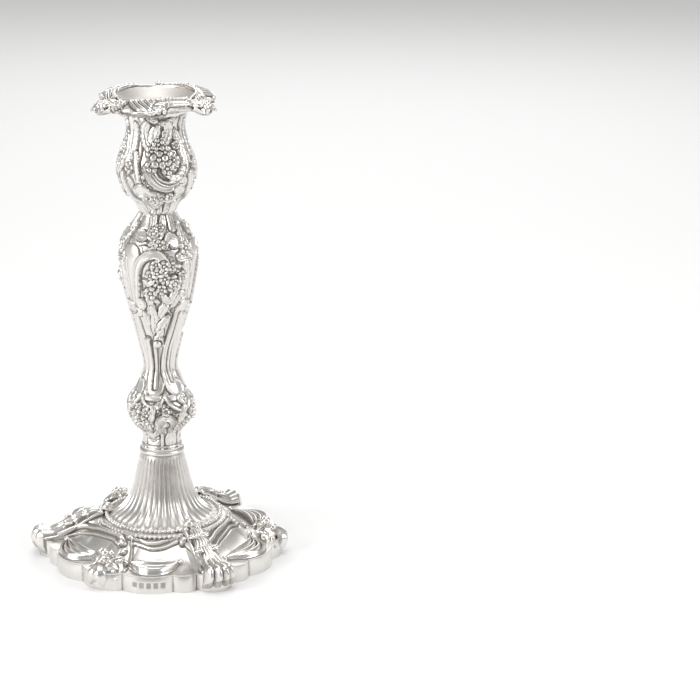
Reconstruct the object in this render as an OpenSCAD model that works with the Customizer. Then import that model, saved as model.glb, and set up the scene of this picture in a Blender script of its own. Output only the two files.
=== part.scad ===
// Table candlestick of struck sheet silver, loaded inside, on a three-fold base,
// with a lift-out nozzle. Millimetres, +Z up, origin at the centre of the base on
// the table. Every ornament repeats three times round the axis.

/* [Overall] */
// Height from the table to the crest of the nozzle's border
stick_height = 254; // [215:1:320]
// Distance from the axis to the plain sides of the base
base_reach = 62; // [50:0.5:80]

/* [Base] */
// Height of the plain upright skirt
skirt_height = 9.5; // [7:0.5:13]
// How far the skirt's corners stand out past its sides
corner_reach = 5.5; // [3:0.5:9]
// How far the skirt's flower lobes stand out past its sides
lobe_reach = 1.8; // [0.5:0.1:4]
// Depth of the creases between the skirt's sections
crease = 2.4; // [0.5:0.1:3]
// Wall of the skirt
skirt_wall = 1.2; // [0.8:0.1:2]
// Height of the corner ridges above the table where they leave the column
ridge_height = 23.5; // [21:0.5:28]
// How far the cast corner shells stand out past the skirt's corners
shell_overhang = 3.5; // [1:0.5:6]
// Radius of the pearl at the head of each corner mount
pearl_radius = 3; // [2:0.1:4]
// Radius of each petal of the base's cast flowers
petal_radius = 3.4; // [2.5:0.1:4.5]

/* [Column and stem] */
// Height of the foot of the fluted column above the table
foot_height = 21; // [18:0.5:26]
// Radius of the column's foot, where it meets the base
foot_radius = 33; // [28:0.5:38]
// Height of the fluted column
column_height = 37; // [30:0.5:50]
// Radius of the column at its top
column_top_radius = 11.4; // [10.5:0.1:14]
// Number of flutes round the column
flute_count = 36; // [20:2:40]
// Depth of the flutes
flute_depth = 0.9; // [0.3:0.1:1.2]
// Height of the collar ring on top of the column
collar_height = 4; // [2.5:0.5:6]
// Height of the spool-shaped neck above the collar
spool_height = 9; // [6:0.5:14]
// Radius of the spool at its waist
spool_radius = 9.9; // [8:0.1:10.5]
// Height of the knop
knop_height = 22; // [18:0.5:30]
// Largest radius of the knop
knop_radius = 17.4; // [15:0.2:22]
// Radius where the knop meets the stem
knop_joint_radius = 13.2; // [11:0.1:14.5]
// Radius of the stem at its waist
stem_waist_radius = 8.5; // [7:0.1:10]
// Largest radius of the stem, at its shoulder
stem_shoulder_radius = 20.3; // [16:0.1:24]

/* [Cup and socket] */
// Height of the candle cup
cup_height = 55.5; // [50:0.5:72]
// Largest radius of the cup
cup_radius = 20.2; // [17:0.1:25]
// Radius of the neck between the stem and the cup
cup_neck_radius = 8.9; // [7:0.1:11]
// Radius of the cup's throat, below its lip
cup_throat_radius = 14.6; // [14.5:0.1:18]
// Depth of the fixed socket inside the cup
socket_depth = 28; // [20:0.5:34]
// Wall of the fixed socket
socket_wall = 0.5; // [0.4:0.1:0.6]

/* [Nozzle] */
// Height of the nozzle's crest above the cup's lip
nozzle_rise = 7.5; // [5:0.1:9]
// Radius of the bore that holds the candle
candle_radius = 11.6; // [10:0.05:11.6]
// Wall of the nozzle's sleeve
sleeve_wall = 0.6; // [0.4:0.1:0.6]
// Radial play between the sleeve and the fixed socket
sleeve_play = 0.08; // [0.02:0.01:0.1]
// Radius of the plain funnel-shaped dish of the pan
dish_radius = 20; // [19:0.1:25]
// Radius over the drooping scrolls of the border
border_radius = 33.4; // [31:0.1:38]
// Number of beads in each row along the border
border_beads = 9; // [5:1:10]

/* [Sheet and loading] */
// Radial wall of the struck shells
shell_wall = 0.9; // [0.6:0.1:1]
// Depth of the struck and chased relief, which the loading behind it stays clear of
relief_depth = 1.4; // [0.8:0.1:1.6]
// Thickness of the struck base and of flat sheet pieces
sheet = 0.8; // [0.5:0.1:1]
// Radius of the iron rod in the loading
rod_radius = 3; // [2:0.1:4]
// Thickness of the board that closes the base
board_thickness = 3; // [2:0.5:4]
// Thickness of the baize under the board
baize_thickness = 1; // [0.6:0.1:1.5]

/* [Hidden] */
$fn = 96;
repeats = 3;
turn = 360 / repeats;
corner_angle = 60;
flower_angle = 0;
nozzle_flower_angle = 90;
seam_angle = corner_angle;
// Gaps that solder or cement fills on the bench
solder_gap = 0.05;
board_gap = 0.3;
// How far a cast mount is let into the sheet under it
let_in = 0.35;

// Heights of the stages, one on top of the other
column_z = foot_height;
collar_z = column_z + column_height;
spool_z = collar_z + collar_height;
knop_z = spool_z + spool_height;
stem_z = knop_z + knop_height;
lip_z = stick_height - nozzle_rise;
cup_z = lip_z - cup_height;
stem_height = cup_z - stem_z;
sleeve_radius = candle_radius + sleeve_wall;
socket_radius = sleeve_radius + sleeve_play;
socket_floor_z = lip_z - socket_depth;
lip_radius = cup_throat_radius + 2;
corner_tip = base_reach + corner_reach + shell_overhang;

// Radius and share of the height at the stations of each stage, from its foot up
column_line = [
    [foot_radius, 0], [foot_radius * 0.86, 0.06], [foot_radius * 0.68, 0.17],
    [column_top_radius + 7, 0.32], [column_top_radius + 4.6, 0.5],
    [column_top_radius + 2.7, 0.72], [column_top_radius + 1, 0.9], [column_top_radius, 1]
];
spool_line = [
    [column_top_radius - 0.8, 0], [spool_radius + 0.3, 0.25], [spool_radius, 0.55],
    [spool_radius + 0.9, 1]
];
knop_line = [
    [spool_radius + 0.9, 0], [knop_radius * 0.78, 0.14], [knop_radius * 0.94, 0.34],
    [knop_radius, 0.55], [knop_radius * 0.95, 0.78], [knop_joint_radius, 1]
];
stem_line = [
    [knop_joint_radius, 0], [stem_waist_radius + 1.7, 0.08], [stem_waist_radius, 0.15],
    [stem_waist_radius + 2.7, 0.29], [stem_shoulder_radius * 0.76, 0.46],
    [stem_shoulder_radius * 0.91, 0.6], [stem_shoulder_radius, 0.76],
    [stem_shoulder_radius * 0.9, 0.86], [cup_neck_radius + 3.6, 0.94], [cup_neck_radius, 1]
];
cup_line = [
    [cup_neck_radius, 0], [cup_neck_radius + 2.8, 0.106], [cup_radius * 0.82, 0.191],
    [cup_radius, 0.361], [cup_radius * 0.96, 0.51], [cup_radius * 0.83, 0.638],
    [cup_throat_radius, 0.808], [cup_throat_radius + 1, 0.93], [lip_radius, 1]
];

// Sections of the skirt round one repeat: first angle and reach at the middle, from a corner
half_corner = 10;
half_lobe = 12;
short_side = 12;
sections = [
    [-half_corner, base_reach + corner_reach], [half_corner, base_reach],
    [half_corner + short_side, base_reach + 0.4], [turn / 2 - half_lobe, base_reach + lobe_reach],
    [turn / 2 + half_lobe, base_reach + 0.4], [turn - half_corner - short_side, base_reach],
    [turn - half_corner, base_reach + corner_reach]
];
// Middle of each crescent past the corner, half the angle between its ends, and the radii of
// its ends and of the middle of its bow
crescent_middles = [turn / 2 - 26, turn / 2 + 26];
crescent_half_span = 16;
crescent_end = base_reach - 16;
crescent_out = base_reach - 9.5;
section_steps = 5;

// ---- Curves and surfaces ----

// Point t of the way from station i to the next, on a smooth curve through the stations p
function curve_point(p, i, t) =
    let (a = p[max(i - 1, 0)], b = p[i], c = p[i + 1], d = p[min(i + 2, len(p) - 1)])
    0.5 * (2 * b + (c - a) * t + (2 * a - 5 * b + 4 * c - d) * t * t
           + (3 * b - a - 3 * c + d) * t * t * t);

function curve(p, steps) = concat(
    [for (i = [0:len(p) - 2], k = [0:steps - 1]) curve_point(p, i, k / steps)],
    [p[len(p) - 1]]);

// A stage's outline as [radius, z], drawn in by inset
function stage(p, z, height, inset = 0, steps = 3) =
    [for (q = curve(p, steps)) [q[0] - inset, z + q[1] * height]];

function reversed(list) = [for (i = [len(list) - 1:-1:0]) list[i]];

// Angle past the last corner's first crease, from -half_corner to turn - half_corner
function local_angle(angle) =
    let (a = angle - corner_angle + half_corner) a - turn * floor(a / turn) - half_corner;

// Reach of the skirt at an angle: arcs that meet in creases
function reach(angle) =
    let (a = local_angle(angle),
         i = max([for (k = [0:len(sections) - 2]) if (a >= sections[k][0] - 0.001) k]),
         part = (a - sections[i][0]) / (sections[i + 1][0] - sections[i][0]),
         low = base_reach - crease)
    low + (sections[i][1] - low) * pow(max(sin(180 * part), 0), 0.6);

outline_angles = [for (k = [0:repeats - 1], i = [0:len(sections) - 2], s = [0:section_steps - 1])
    corner_angle + k * turn + sections[i][0]
    + (sections[i + 1][0] - sections[i][0]) * s / section_steps];

// Height of the base's top: scooped panels that rise to a ridge along each corner
function base_top(radius, angle) =
    let (a = local_angle(angle),
         off = a > turn / 2 ? turn - a : a,
         aside = radius * sin(off),
         t = min(1, (radius - foot_radius) / (reach(angle) - foot_radius)),
         panel = skirt_height + (foot_height - skirt_height) * pow(1 - t, 1.8),
         ridge = skirt_height + (ridge_height - skirt_height) * cos(90 * t))
    panel + (ridge - panel) * exp(-pow(aside / 8, 2));

// Closed slab between two grids of points; the columns join up when wrap is true
module slab(top, bottom, wrap = false) {
    m = len(top);
    n = len(top[0]);
    last = wrap ? n - 1 : n - 2;
    function at(i, j, low = 0) = low * m * n + i * n + (j % n);
    points = concat([for (row = top, p = row) p], [for (row = bottom, p = row) p]);
    faces = concat(
        [for (i = [0:m - 2], j = [0:last]) [at(i, j), at(i, j + 1), at(i + 1, j + 1)]],
        [for (i = [0:m - 2], j = [0:last]) [at(i, j), at(i + 1, j + 1), at(i + 1, j)]],
        [for (i = [0:m - 2], j = [0:last]) [at(i, j, 1), at(i + 1, j + 1, 1), at(i, j + 1, 1)]],
        [for (i = [0:m - 2], j = [0:last]) [at(i, j, 1), at(i + 1, j, 1), at(i + 1, j + 1, 1)]],
        [for (j = [0:last]) [at(0, j), at(0, j, 1), at(0, j + 1, 1)]],
        [for (j = [0:last]) [at(0, j), at(0, j + 1, 1), at(0, j + 1)]],
        [for (j = [0:last]) [at(m - 1, j), at(m - 1, j + 1), at(m - 1, j + 1, 1)]],
        [for (j = [0:last]) [at(m - 1, j), at(m - 1, j + 1, 1), at(m - 1, j, 1)]],
        wrap ? [] : [for (i = [0:m - 2]) [at(i, 0), at(i + 1, 0), at(i + 1, 0, 1)]],
        wrap ? [] : [for (i = [0:m - 2]) [at(i, 0), at(i + 1, 0, 1), at(i, 0, 1)]],
        wrap ? [] : [for (i = [0:m - 2]) [at(i, n - 1), at(i, n - 1, 1), at(i + 1, n - 1, 1)]],
        wrap ? [] : [for (i = [0:m - 2]) [at(i, n - 1), at(i + 1, n - 1, 1), at(i + 1, n - 1)]]);
    polyhedron(points, faces);
}

module silver() { color([0.86, 0.85, 0.83]) children(); }
module cast_silver() { color([0.78, 0.77, 0.74]) children(); }

// ---- Base ----

module skirt_plan(inset) {
    polygon([for (a = outline_angles) (reach(a) - inset) * [cos(a), sin(a)]]);
}

module baize_pad() {
    color([0.16, 0.3, 0.2]) linear_extrude(baize_thickness) skirt_plan(skirt_wall + board_gap);
}

module base_board() {
    color([0.6, 0.45, 0.28]) translate([0, 0, baize_thickness])
        linear_extrude(board_thickness) skirt_plan(skirt_wall + board_gap);
}

module base_skirt() {
    silver() linear_extrude(skirt_height - sheet) difference() {
        skirt_plan(0);
        skirt_plan(skirt_wall);
    }
}

module base_plate() {
    rows = 8;
    function grid(drop) = [for (i = [0:rows - 1]) [for (a = outline_angles)
        let (r = foot_radius + (reach(a) - foot_radius) * i / (rows - 1))
        [r * cos(a), r * sin(a), base_top(r, a) - drop]]];
    silver() slab(grid(0), grid(sheet), true);
}

// Struck bands of three ridges that bow outward between two balls, above the long sides
// of the skirt
module crescent_moulding(k) {
    middle = corner_angle + floor(k / 2) * turn + crescent_middles[k % 2];
    half = 3;
    ridges = 3;
    steps = 18;
    // The arc through the two ends and the middle of the bow
    chord = crescent_end * sin(crescent_half_span);
    bow = crescent_out - crescent_end * cos(crescent_half_span);
    arc = (chord * chord + bow * bow) / (2 * bow);
    sweep = asin(chord / arc);
    out_z = base_top(crescent_out, middle);
    end_z = base_top(crescent_end, middle - crescent_half_span);
    ball_lead = 3;
    silver() rotate([0, 0, middle]) translate([crescent_out, 0, out_z])
        rotate([0, atan((end_z - out_z) / bow), 0]) translate([-arc, 0, 0]) {
            rotate([0, 0, -sweep]) rotate_extrude(angle = 2 * sweep) polygon(concat(
                [for (i = [0:steps]) let (t = 2 * i / steps - 1)
                    [arc + half * t, 0.3 + 1.4 * abs(sin(90 * ridges * (t + 1)))]],
                [[arc + half, -1], [arc - half, -1]]));
            for (side = [-1, 1]) rotate([0, 0, side * (sweep + ball_lead)])
                translate([arc, 0, 0.6]) sphere(2.2, $fn = 32);
        }
}

// Cast ridge mount: pearl, scrolls, fan and the drooping shell at the corner's tip
module corner_mount(k) {
    rows = 12;
    columns = 7;
    first = foot_radius - 0.5;
    // Half width and height above the ridge, by share of the way out
    widths = [[0, 2.6], [0.25, 4.6], [0.5, 6], [0.8, 9], [0.95, 8.5], [1, 6]];
    rises = [[0, 1.6], [0.2, 3.2], [0.5, 2.6], [0.75, 2.4], [0.9, 1.6], [1, -3.5]];
    function place(i, j) = let (s = i / (rows - 1), v = 2 * j / (columns - 1) - 1)
        [first + (corner_tip - first) * s, v * lookup(s, widths), s, v];
    function top(x, y) = base_top(norm([x, y]), corner_angle + atan2(y, x));
    function past(x, y) = norm([x, y]) > reach(corner_angle + atan2(y, x));
    upper = [for (i = [0:rows - 1]) [for (j = [0:columns - 1]) let (p = place(i, j))
        [p[0], p[1], top(p[0], p[1]) + 0.25 + lookup(p[2], rises) * (1 - pow(abs(p[3]), 2.4))]]];
    lower = [for (i = [0:rows - 1]) [for (j = [0:columns - 1]) let (p = place(i, j))
        [p[0], p[1], past(p[0], p[1]) ? skirt_height * 0.45 : top(p[0], p[1]) - let_in]]];
    cast_silver() rotate([0, 0, corner_angle + k * turn]) {
        slab(upper, lower);
        translate([foot_radius - 2, 0, ridge_height + 1.9]) sphere(pearl_radius, $fn = 48);
    }
}

// Petals round a boss, leaning outward
module cast_flower(petal, petals, lean) {
    rotate([0, lean, 0]) {
        for (i = [0:petals - 1]) rotate([0, 0, i * 360 / petals])
            translate([petal * 1.5, 0, 0.2]) sphere(petal, $fn = 40);
        translate([0, 0, petal * 0.5]) sphere(petal * 0.75, $fn = 40);
    }
}

module flower_mount(k) {
    middle = base_reach - 2.6 * petal_radius;
    cast_silver() rotate([0, 0, flower_angle + k * turn])
        translate([middle, 0, base_top(middle, flower_angle) + 1.3])
            cast_flower(petal_radius, 5, 24);
}

module foot_bead_ring() {
    silver() rotate_extrude() translate([foot_radius - 2.4, column_z + 1.6]) circle(1.2, $fn = 32);
}

// ---- Column, knop and stem ----

module fluted_column() {
    line = stage(column_line, column_z, column_height, steps = 2);
    around = flute_count * 2;
    function deep(radius) = flute_depth * sqrt(radius / column_top_radius);
    outer = [for (p = reversed(line)) [for (j = [0:around - 1])
        let (a = j * 360 / around, r = p[0] - (j % 2 == 0 ? 0 : deep(p[0])))
        [r * cos(a), r * sin(a), p[1]]]];
    inner = [for (p = reversed(line)) [for (j = [0:around - 1])
        let (a = j * 360 / around, r = p[0] - shell_wall - deep(p[0]))
        [r * cos(a), r * sin(a), p[1]]]];
    silver() slab(outer, inner, true);
}

// Bead-edged ring that covers the joint of the column and the spool
module collar_ring() {
    inner = column_top_radius - shell_wall - flute_depth;
    silver() rotate_extrude() translate([0, collar_z]) polygon([
        [inner, 0], [column_top_radius, 0], [column_top_radius + 0.4, collar_height * 0.25],
        [column_top_radius + 0.4, collar_height * 0.6], [column_top_radius - 0.3, collar_height],
        [inner, collar_height]]);
}

module spool_neck() {
    silver() rotate_extrude() polygon(concat(
        stage(spool_line, spool_z, spool_height),
        reversed(stage(spool_line, spool_z, spool_height, shell_wall))));
}

// One of the three struck pieces that make a stage of the stem
module third(line, z, height, k) {
    silver() rotate_extrude(angle = turn, start = seam_angle + k * turn) polygon(concat(
        stage(line, z, height), reversed(stage(line, z, height, shell_wall))));
}

// ---- Socket and loading ----

module socket_liner() {
    silver() rotate_extrude() polygon([
        [socket_radius, socket_floor_z], [socket_radius + socket_wall, socket_floor_z],
        [socket_radius + socket_wall, lip_z - sheet],
        [lip_radius - shell_wall - board_gap, lip_z - sheet],
        [lip_radius - shell_wall - board_gap, lip_z], [socket_radius, lip_z]]);
}

module socket_floor() {
    silver() translate([0, 0, socket_floor_z - sheet])
        cylinder(r = socket_radius + socket_wall, h = sheet);
}

rod_foot_z = baize_thickness + board_thickness + 3;
rod_top_z = socket_floor_z - sheet - 4;

module core_rod() {
    color([0.25, 0.24, 0.24]) translate([0, 0, rod_foot_z])
        cylinder(r = rod_radius, h = rod_top_z - rod_foot_z);
}

// Pitch poured in round the rod; it fills the base, the column, the stem and the cup's foot
module pitch_filling() {
    inset = shell_wall + relief_depth + solder_gap;
    top_z = socket_floor_z - sheet - solder_gap;
    board_z = baize_thickness + board_thickness + solder_gap;
    edge = base_reach - crease - skirt_wall - 4.5;
    low_z = skirt_height - sheet - 0.6;
    outer = concat(
        [[edge, board_z], [edge, low_z], [foot_radius + 3, low_z]],
        stage(column_line, column_z - sheet - 1, column_height + sheet + 1, inset + flute_depth),
        stage(spool_line, spool_z, spool_height, inset),
        stage(knop_line, knop_z, knop_height, inset),
        stage(stem_line, stem_z, stem_height, inset),
        [for (p = stage(cup_line, cup_z, cup_height, inset)) if (p[1] < top_z) p]);
    color([0.12, 0.09, 0.07]) rotate_extrude() polygon(concat(
        outer, [[socket_radius, top_z], [0, top_z], [0, rod_top_z + solder_gap],
                [rod_radius + solder_gap, rod_top_z + solder_gap],
                [rod_radius + solder_gap, rod_foot_z - solder_gap],
                [0, rod_foot_z - solder_gap], [0, board_z]]));
}

// ---- Nozzle ----

seat_gap = 0.3;
sleeve_foot_z = socket_floor_z + seat_gap;
bore_top_z = lip_z + sheet;

module nozzle_sleeve() {
    silver() translate([0, 0, sleeve_foot_z + sheet]) difference() {
        cylinder(r = sleeve_radius, h = bore_top_z - sleeve_foot_z - sheet);
        translate([0, 0, -1]) cylinder(r = candle_radius, h = socket_depth + 2);
    }
}

module nozzle_floor() {
    silver() translate([0, 0, sleeve_foot_z]) cylinder(r = sleeve_radius, h = sheet);
}

// Plain funnel-shaped dish; its flat underside sits on the cup's lip
module nozzle_pan() {
    dish_z = stick_height - 0.7;
    silver() rotate_extrude() polygon(concat(
        [[sleeve_radius, lip_z], [lip_radius + 0.4, lip_z], [dish_radius, dish_z - sheet * 1.6]],
        [for (t = [1:-0.2:0.1]) [candle_radius + (dish_radius - candle_radius) * t,
                                 bore_top_z + (dish_z - bore_top_z) * pow(t, 1.7)]],
        [[candle_radius, bore_top_z], [sleeve_radius, bore_top_z]]));
}

// Cross-section of the border: a crest beside the dish, then a skirt that droops to its tips
module border_section(out, drop, thick) {
    crest = stick_height;
    polygon([
        [dish_radius, crest - 0.7], [dish_radius + 1, crest], [dish_radius + 2.2, crest - 0.2],
        [(dish_radius + out) / 2, crest - drop * 0.3], [out - 1, crest - drop * 0.7],
        [out, crest - drop], [out - thick, crest - drop], [out - 1 - thick, crest - drop * 0.75],
        [(dish_radius + out) / 2 - thick * 0.6, crest - drop * 0.3 - thick],
        [dish_radius, crest - 0.7 - thick]]);
}

// One of the three castings of the border: a ribbed scroll, a row of beads and the
// ground behind the flower
module border_segment(k) {
    start = nozzle_flower_angle + k * turn;
    scroll = [27, 43];
    bead_row = [70, 44];
    bead = 1.1;
    cast_silver() {
        rotate_extrude(angle = turn, start = start) border_section(border_radius - 4, 3, 1.3);
        rotate_extrude(angle = scroll[1], start = start + scroll[0])
            border_section(border_radius - 1, 5.5, 1.5);
        for (i = [0:border_beads - 1])
            rotate([0, 0, start + bead_row[0] + bead_row[1] * (i + 0.5) / border_beads])
                translate([dish_radius + 3, 0, stick_height - bead]) sphere(bead, $fn = 24);
    }
}

module nozzle_flower(k) {
    cast_silver() rotate([0, 0, nozzle_flower_angle + k * turn])
        translate([border_radius - 5, 0, stick_height - 3.6]) cast_flower(2, 6, 38);
}

// ---- Assembly ----

baize_pad();
base_board();
base_skirt();
base_plate();
foot_bead_ring();
fluted_column();
collar_ring();
spool_neck();
socket_liner();
socket_floor();
core_rod();
pitch_filling();
nozzle_sleeve();
nozzle_floor();
nozzle_pan();
for (k = [1:repeats]) {
    corner_mount(k - 1);
    flower_mount(k - 1);
    third(knop_line, knop_z, knop_height, k - 1);
    third(stem_line, stem_z, stem_height, k - 1);
    third(cup_line, cup_z, cup_height, k - 1);
    border_segment(k - 1);
    nozzle_flower(k - 1);
}
for (k = [1:2 * repeats])
    crescent_moulding(k - 1);
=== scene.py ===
"""Looks of a silver table candlestick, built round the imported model.

Lengths are in millimetres until a mesh is made. Front angle is measured from -Y towards +X, in
degrees, and the ornament repeats three times round the axis.
"""

from __future__ import annotations

import logging
import math
from dataclasses import dataclass, field
from enum import Enum

import bpy
import numpy as np
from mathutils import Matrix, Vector

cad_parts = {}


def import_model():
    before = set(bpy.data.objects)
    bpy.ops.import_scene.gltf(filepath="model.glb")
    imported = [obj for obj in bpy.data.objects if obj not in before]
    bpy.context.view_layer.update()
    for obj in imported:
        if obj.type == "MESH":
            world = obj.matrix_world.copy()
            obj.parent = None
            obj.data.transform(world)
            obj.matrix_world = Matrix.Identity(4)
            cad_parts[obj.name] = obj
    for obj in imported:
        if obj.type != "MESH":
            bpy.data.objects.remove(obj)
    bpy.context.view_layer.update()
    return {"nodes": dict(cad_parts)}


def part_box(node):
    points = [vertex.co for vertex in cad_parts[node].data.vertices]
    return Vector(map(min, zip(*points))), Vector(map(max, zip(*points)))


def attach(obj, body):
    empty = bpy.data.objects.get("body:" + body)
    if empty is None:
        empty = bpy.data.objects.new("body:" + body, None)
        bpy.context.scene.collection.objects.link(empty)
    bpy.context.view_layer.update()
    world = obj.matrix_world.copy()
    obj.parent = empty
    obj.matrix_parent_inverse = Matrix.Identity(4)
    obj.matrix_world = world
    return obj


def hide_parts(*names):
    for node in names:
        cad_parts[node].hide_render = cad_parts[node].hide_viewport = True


LOG = logging.getLogger("candlestick")
MM = 0.001  # metres in a millimetre
REPEATS = 3  # times that the ornament comes round
PERIOD = 360.0 / REPEATS
SEAM = 30.0  # front angle of the first seam
THIN = 8  # outer grid points to each inner one
DEEPEST = 1.35  # deepest relief under an outline
MATTING = 0.025  # height of the punched texture on low ground
SHARP = 50.0  # angle past which an edge shades as sharp
INSIDE = 0.6  # oxide on the inner side of a sheet
Array = np.ndarray
Points = list[tuple[float, float]]
Place = tuple[float, float, float]


# ---- Curves ----


def smooth_line(points: Points, steps: int) -> Array:
    """Smooth curve through points.

    Args:
        points: The stations, in order.
        steps: Points to each span.

    Returns:
        An array of points, two columns.
    """
    p = np.array(points, float)
    p = np.vstack([2 * p[0] - p[1], p, 2 * p[-1] - p[-2]])
    t = np.linspace(0, 1, steps, endpoint=False)[:, None]
    spans = [
        0.5 * (2 * b + (c - a) * t + (2 * a - 5 * b + 4 * c - d) * t**2 + (3 * b - a - 3 * c + d) * t**3)
        for a, b, c, d in zip(p, p[1:], p[2:], p[3:])
    ]
    return np.vstack([*spans, p[-2]])


def lengths(line: Array) -> Array:
    """Length run along a polyline at each of its points."""
    return np.concatenate([[0.0], np.cumsum(np.linalg.norm(np.diff(line, axis=0), axis=1))])


def ease(x: Array) -> Array:
    """Smooth step from 0 to 1."""
    x = np.clip(x, 0.0, 1.0)
    return x * x * (3 - 2 * x)


def around(angle: Array) -> Array:
    """Angle brought to within half a repeat of 0, in degrees."""
    return (angle + PERIOD / 2) % PERIOD - PERIOD / 2


def polar(radius: Array, angle: Array, z: Array) -> Array:
    """Points in space from radius, front angle and height."""
    t = np.radians(angle)
    return np.stack(np.broadcast_arrays(radius * np.sin(t), -radius * np.cos(t), z), axis=-1)


def every_repeat(angle: Array) -> Array:
    """Front angles of one repeat carried on round the axis, as one row."""
    return np.concatenate([angle + PERIOD * k for k in range(REPEATS)])[None, :]


def blur(h: Array, sigma: float) -> Array:
    """Gaussian blur of a grid whose columns join up."""
    reach = max(1, math.ceil(2.5 * sigma))
    k = np.exp(-0.5 * (np.arange(-reach, reach + 1) / max(sigma, 0.3)) ** 2)
    k /= k.sum()
    for axis, mode in enumerate(("edge", "wrap")):
        pads = [(0, 0), (0, 0)]
        pads[axis] = (reach, reach)
        padded = np.pad(h, pads, mode=mode)
        size = h.shape[axis]
        h = sum(w * np.take(padded, range(i, i + size), axis=axis) for i, w in enumerate(k))
    return h


class Outline:
    """Outline of a turned stage between two heights, from its foot to its top."""

    def __init__(self, stations: Points, low: float, high: float, step: float) -> None:
        """Samples the smooth outline evenly.

        Args:
            stations: Radius and share of the height, from the foot up.
            low: Height of the foot.
            high: Height of the top.
            step: Distance between samples along the outline.
        """
        line = smooth_line([(r, low + t * (high - low)) for r, t in stations], 24)
        run = lengths(line)
        self.s = np.linspace(0, run[-1], max(8, round(run[-1] / step)) + 1)
        self.r = np.interp(self.s, run, line[:, 0])
        self.z = np.interp(self.s, run, line[:, 1])
        dr, dz = np.gradient(self.r), np.gradient(self.z)
        size = np.hypot(dr, dz)
        self.out_r, self.out_z = dz / size, -dr / size

    def at(self, z: float) -> float:
        """Length run at a height."""
        return float(np.interp(z, self.z, self.s))


# ---- Relief ----


class Form(Enum):
    """Cross-sections of a raised band."""

    ROUND = "round"
    SCROLL = "scroll"
    REEDS = "reeds"
    LEAF = "leaf"
    GADROON = "gadroon"
    FLAT = "flat"
    ROPE = "rope"


@dataclass
class Curl:
    """Spiral at the end of a scroll: first radius, turns, and side (1 left, -1 right)."""

    radius: float
    turns: float = 0.9
    side: int = 1


@dataclass
class Band:
    """Raised band along a path of front angle and height.

    width is its full width, rise its height above level, taper its width at both ends as a share of
    the widest, and lobes the number of lobes along a leaf's edges.
    """

    path: Points
    width: float
    rise: float = 1.2
    form: Form = Form.ROUND
    level: float = -0.6
    taper: tuple[float, float] = (1.0, 1.0)
    curls: tuple[Curl | None, Curl | None] = (None, None)
    count: int = 3
    lobes: int = 0
    belly: float = 0.0


@dataclass
class Flower:
    """Round flower seen from above, at a front angle and height."""

    angle: float
    z: float
    radius: float
    petals: int = 5
    rise: float = 1.7
    level: float = -0.6
    turn: float = 0.0
    heart: float = 0.26
    rings: int = 1


def section(form: Form, v: Array, x: Array, half: Array, count: int) -> Array:
    """Height of a band's cross-section, from 0 to about 1.

    Args:
        form: The cross-section.
        v: Place across the band, -1 to 1.
        x: Length run along the band.
        half: Half width there.
        count: Reeds across.

    Returns:
        The height at each point.
    """
    w = np.abs(v)
    dome = np.sqrt(np.clip(1 - w * w, 0, 1))
    if form is Form.SCROLL:
        return 0.42 + 0.58 * ease((w - 0.45) / 0.35) * ease((1.15 - w) / 0.3) + 0.1 * v
    if form is Form.REEDS:
        return 0.3 + 0.7 * np.abs(np.sin(np.pi * count * (v + 1) / 2)) ** 0.6 * (0.75 + 0.25 * dome)
    if form is Form.LEAF:
        veins = np.cos(2 * np.pi * x / 2.4 + 5.0 * w)
        return 0.3 + 0.7 * dome - 0.35 * np.exp(-((v / 0.16) ** 2)) + 0.07 * veins * ease(w / 0.3)
    if form is Form.GADROON:
        return 0.25 + 0.75 * np.abs(np.sin(np.pi * (x + 1.6 * half * v) / 2.1)) ** 0.7 * dome
    if form is Form.ROPE:
        return dome * (0.72 + 0.28 * np.cos(2 * np.pi * (x + half * v) / 1.7))
    if form is Form.FLAT:
        return 0.8 + 0.2 * dome
    return dome


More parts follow.
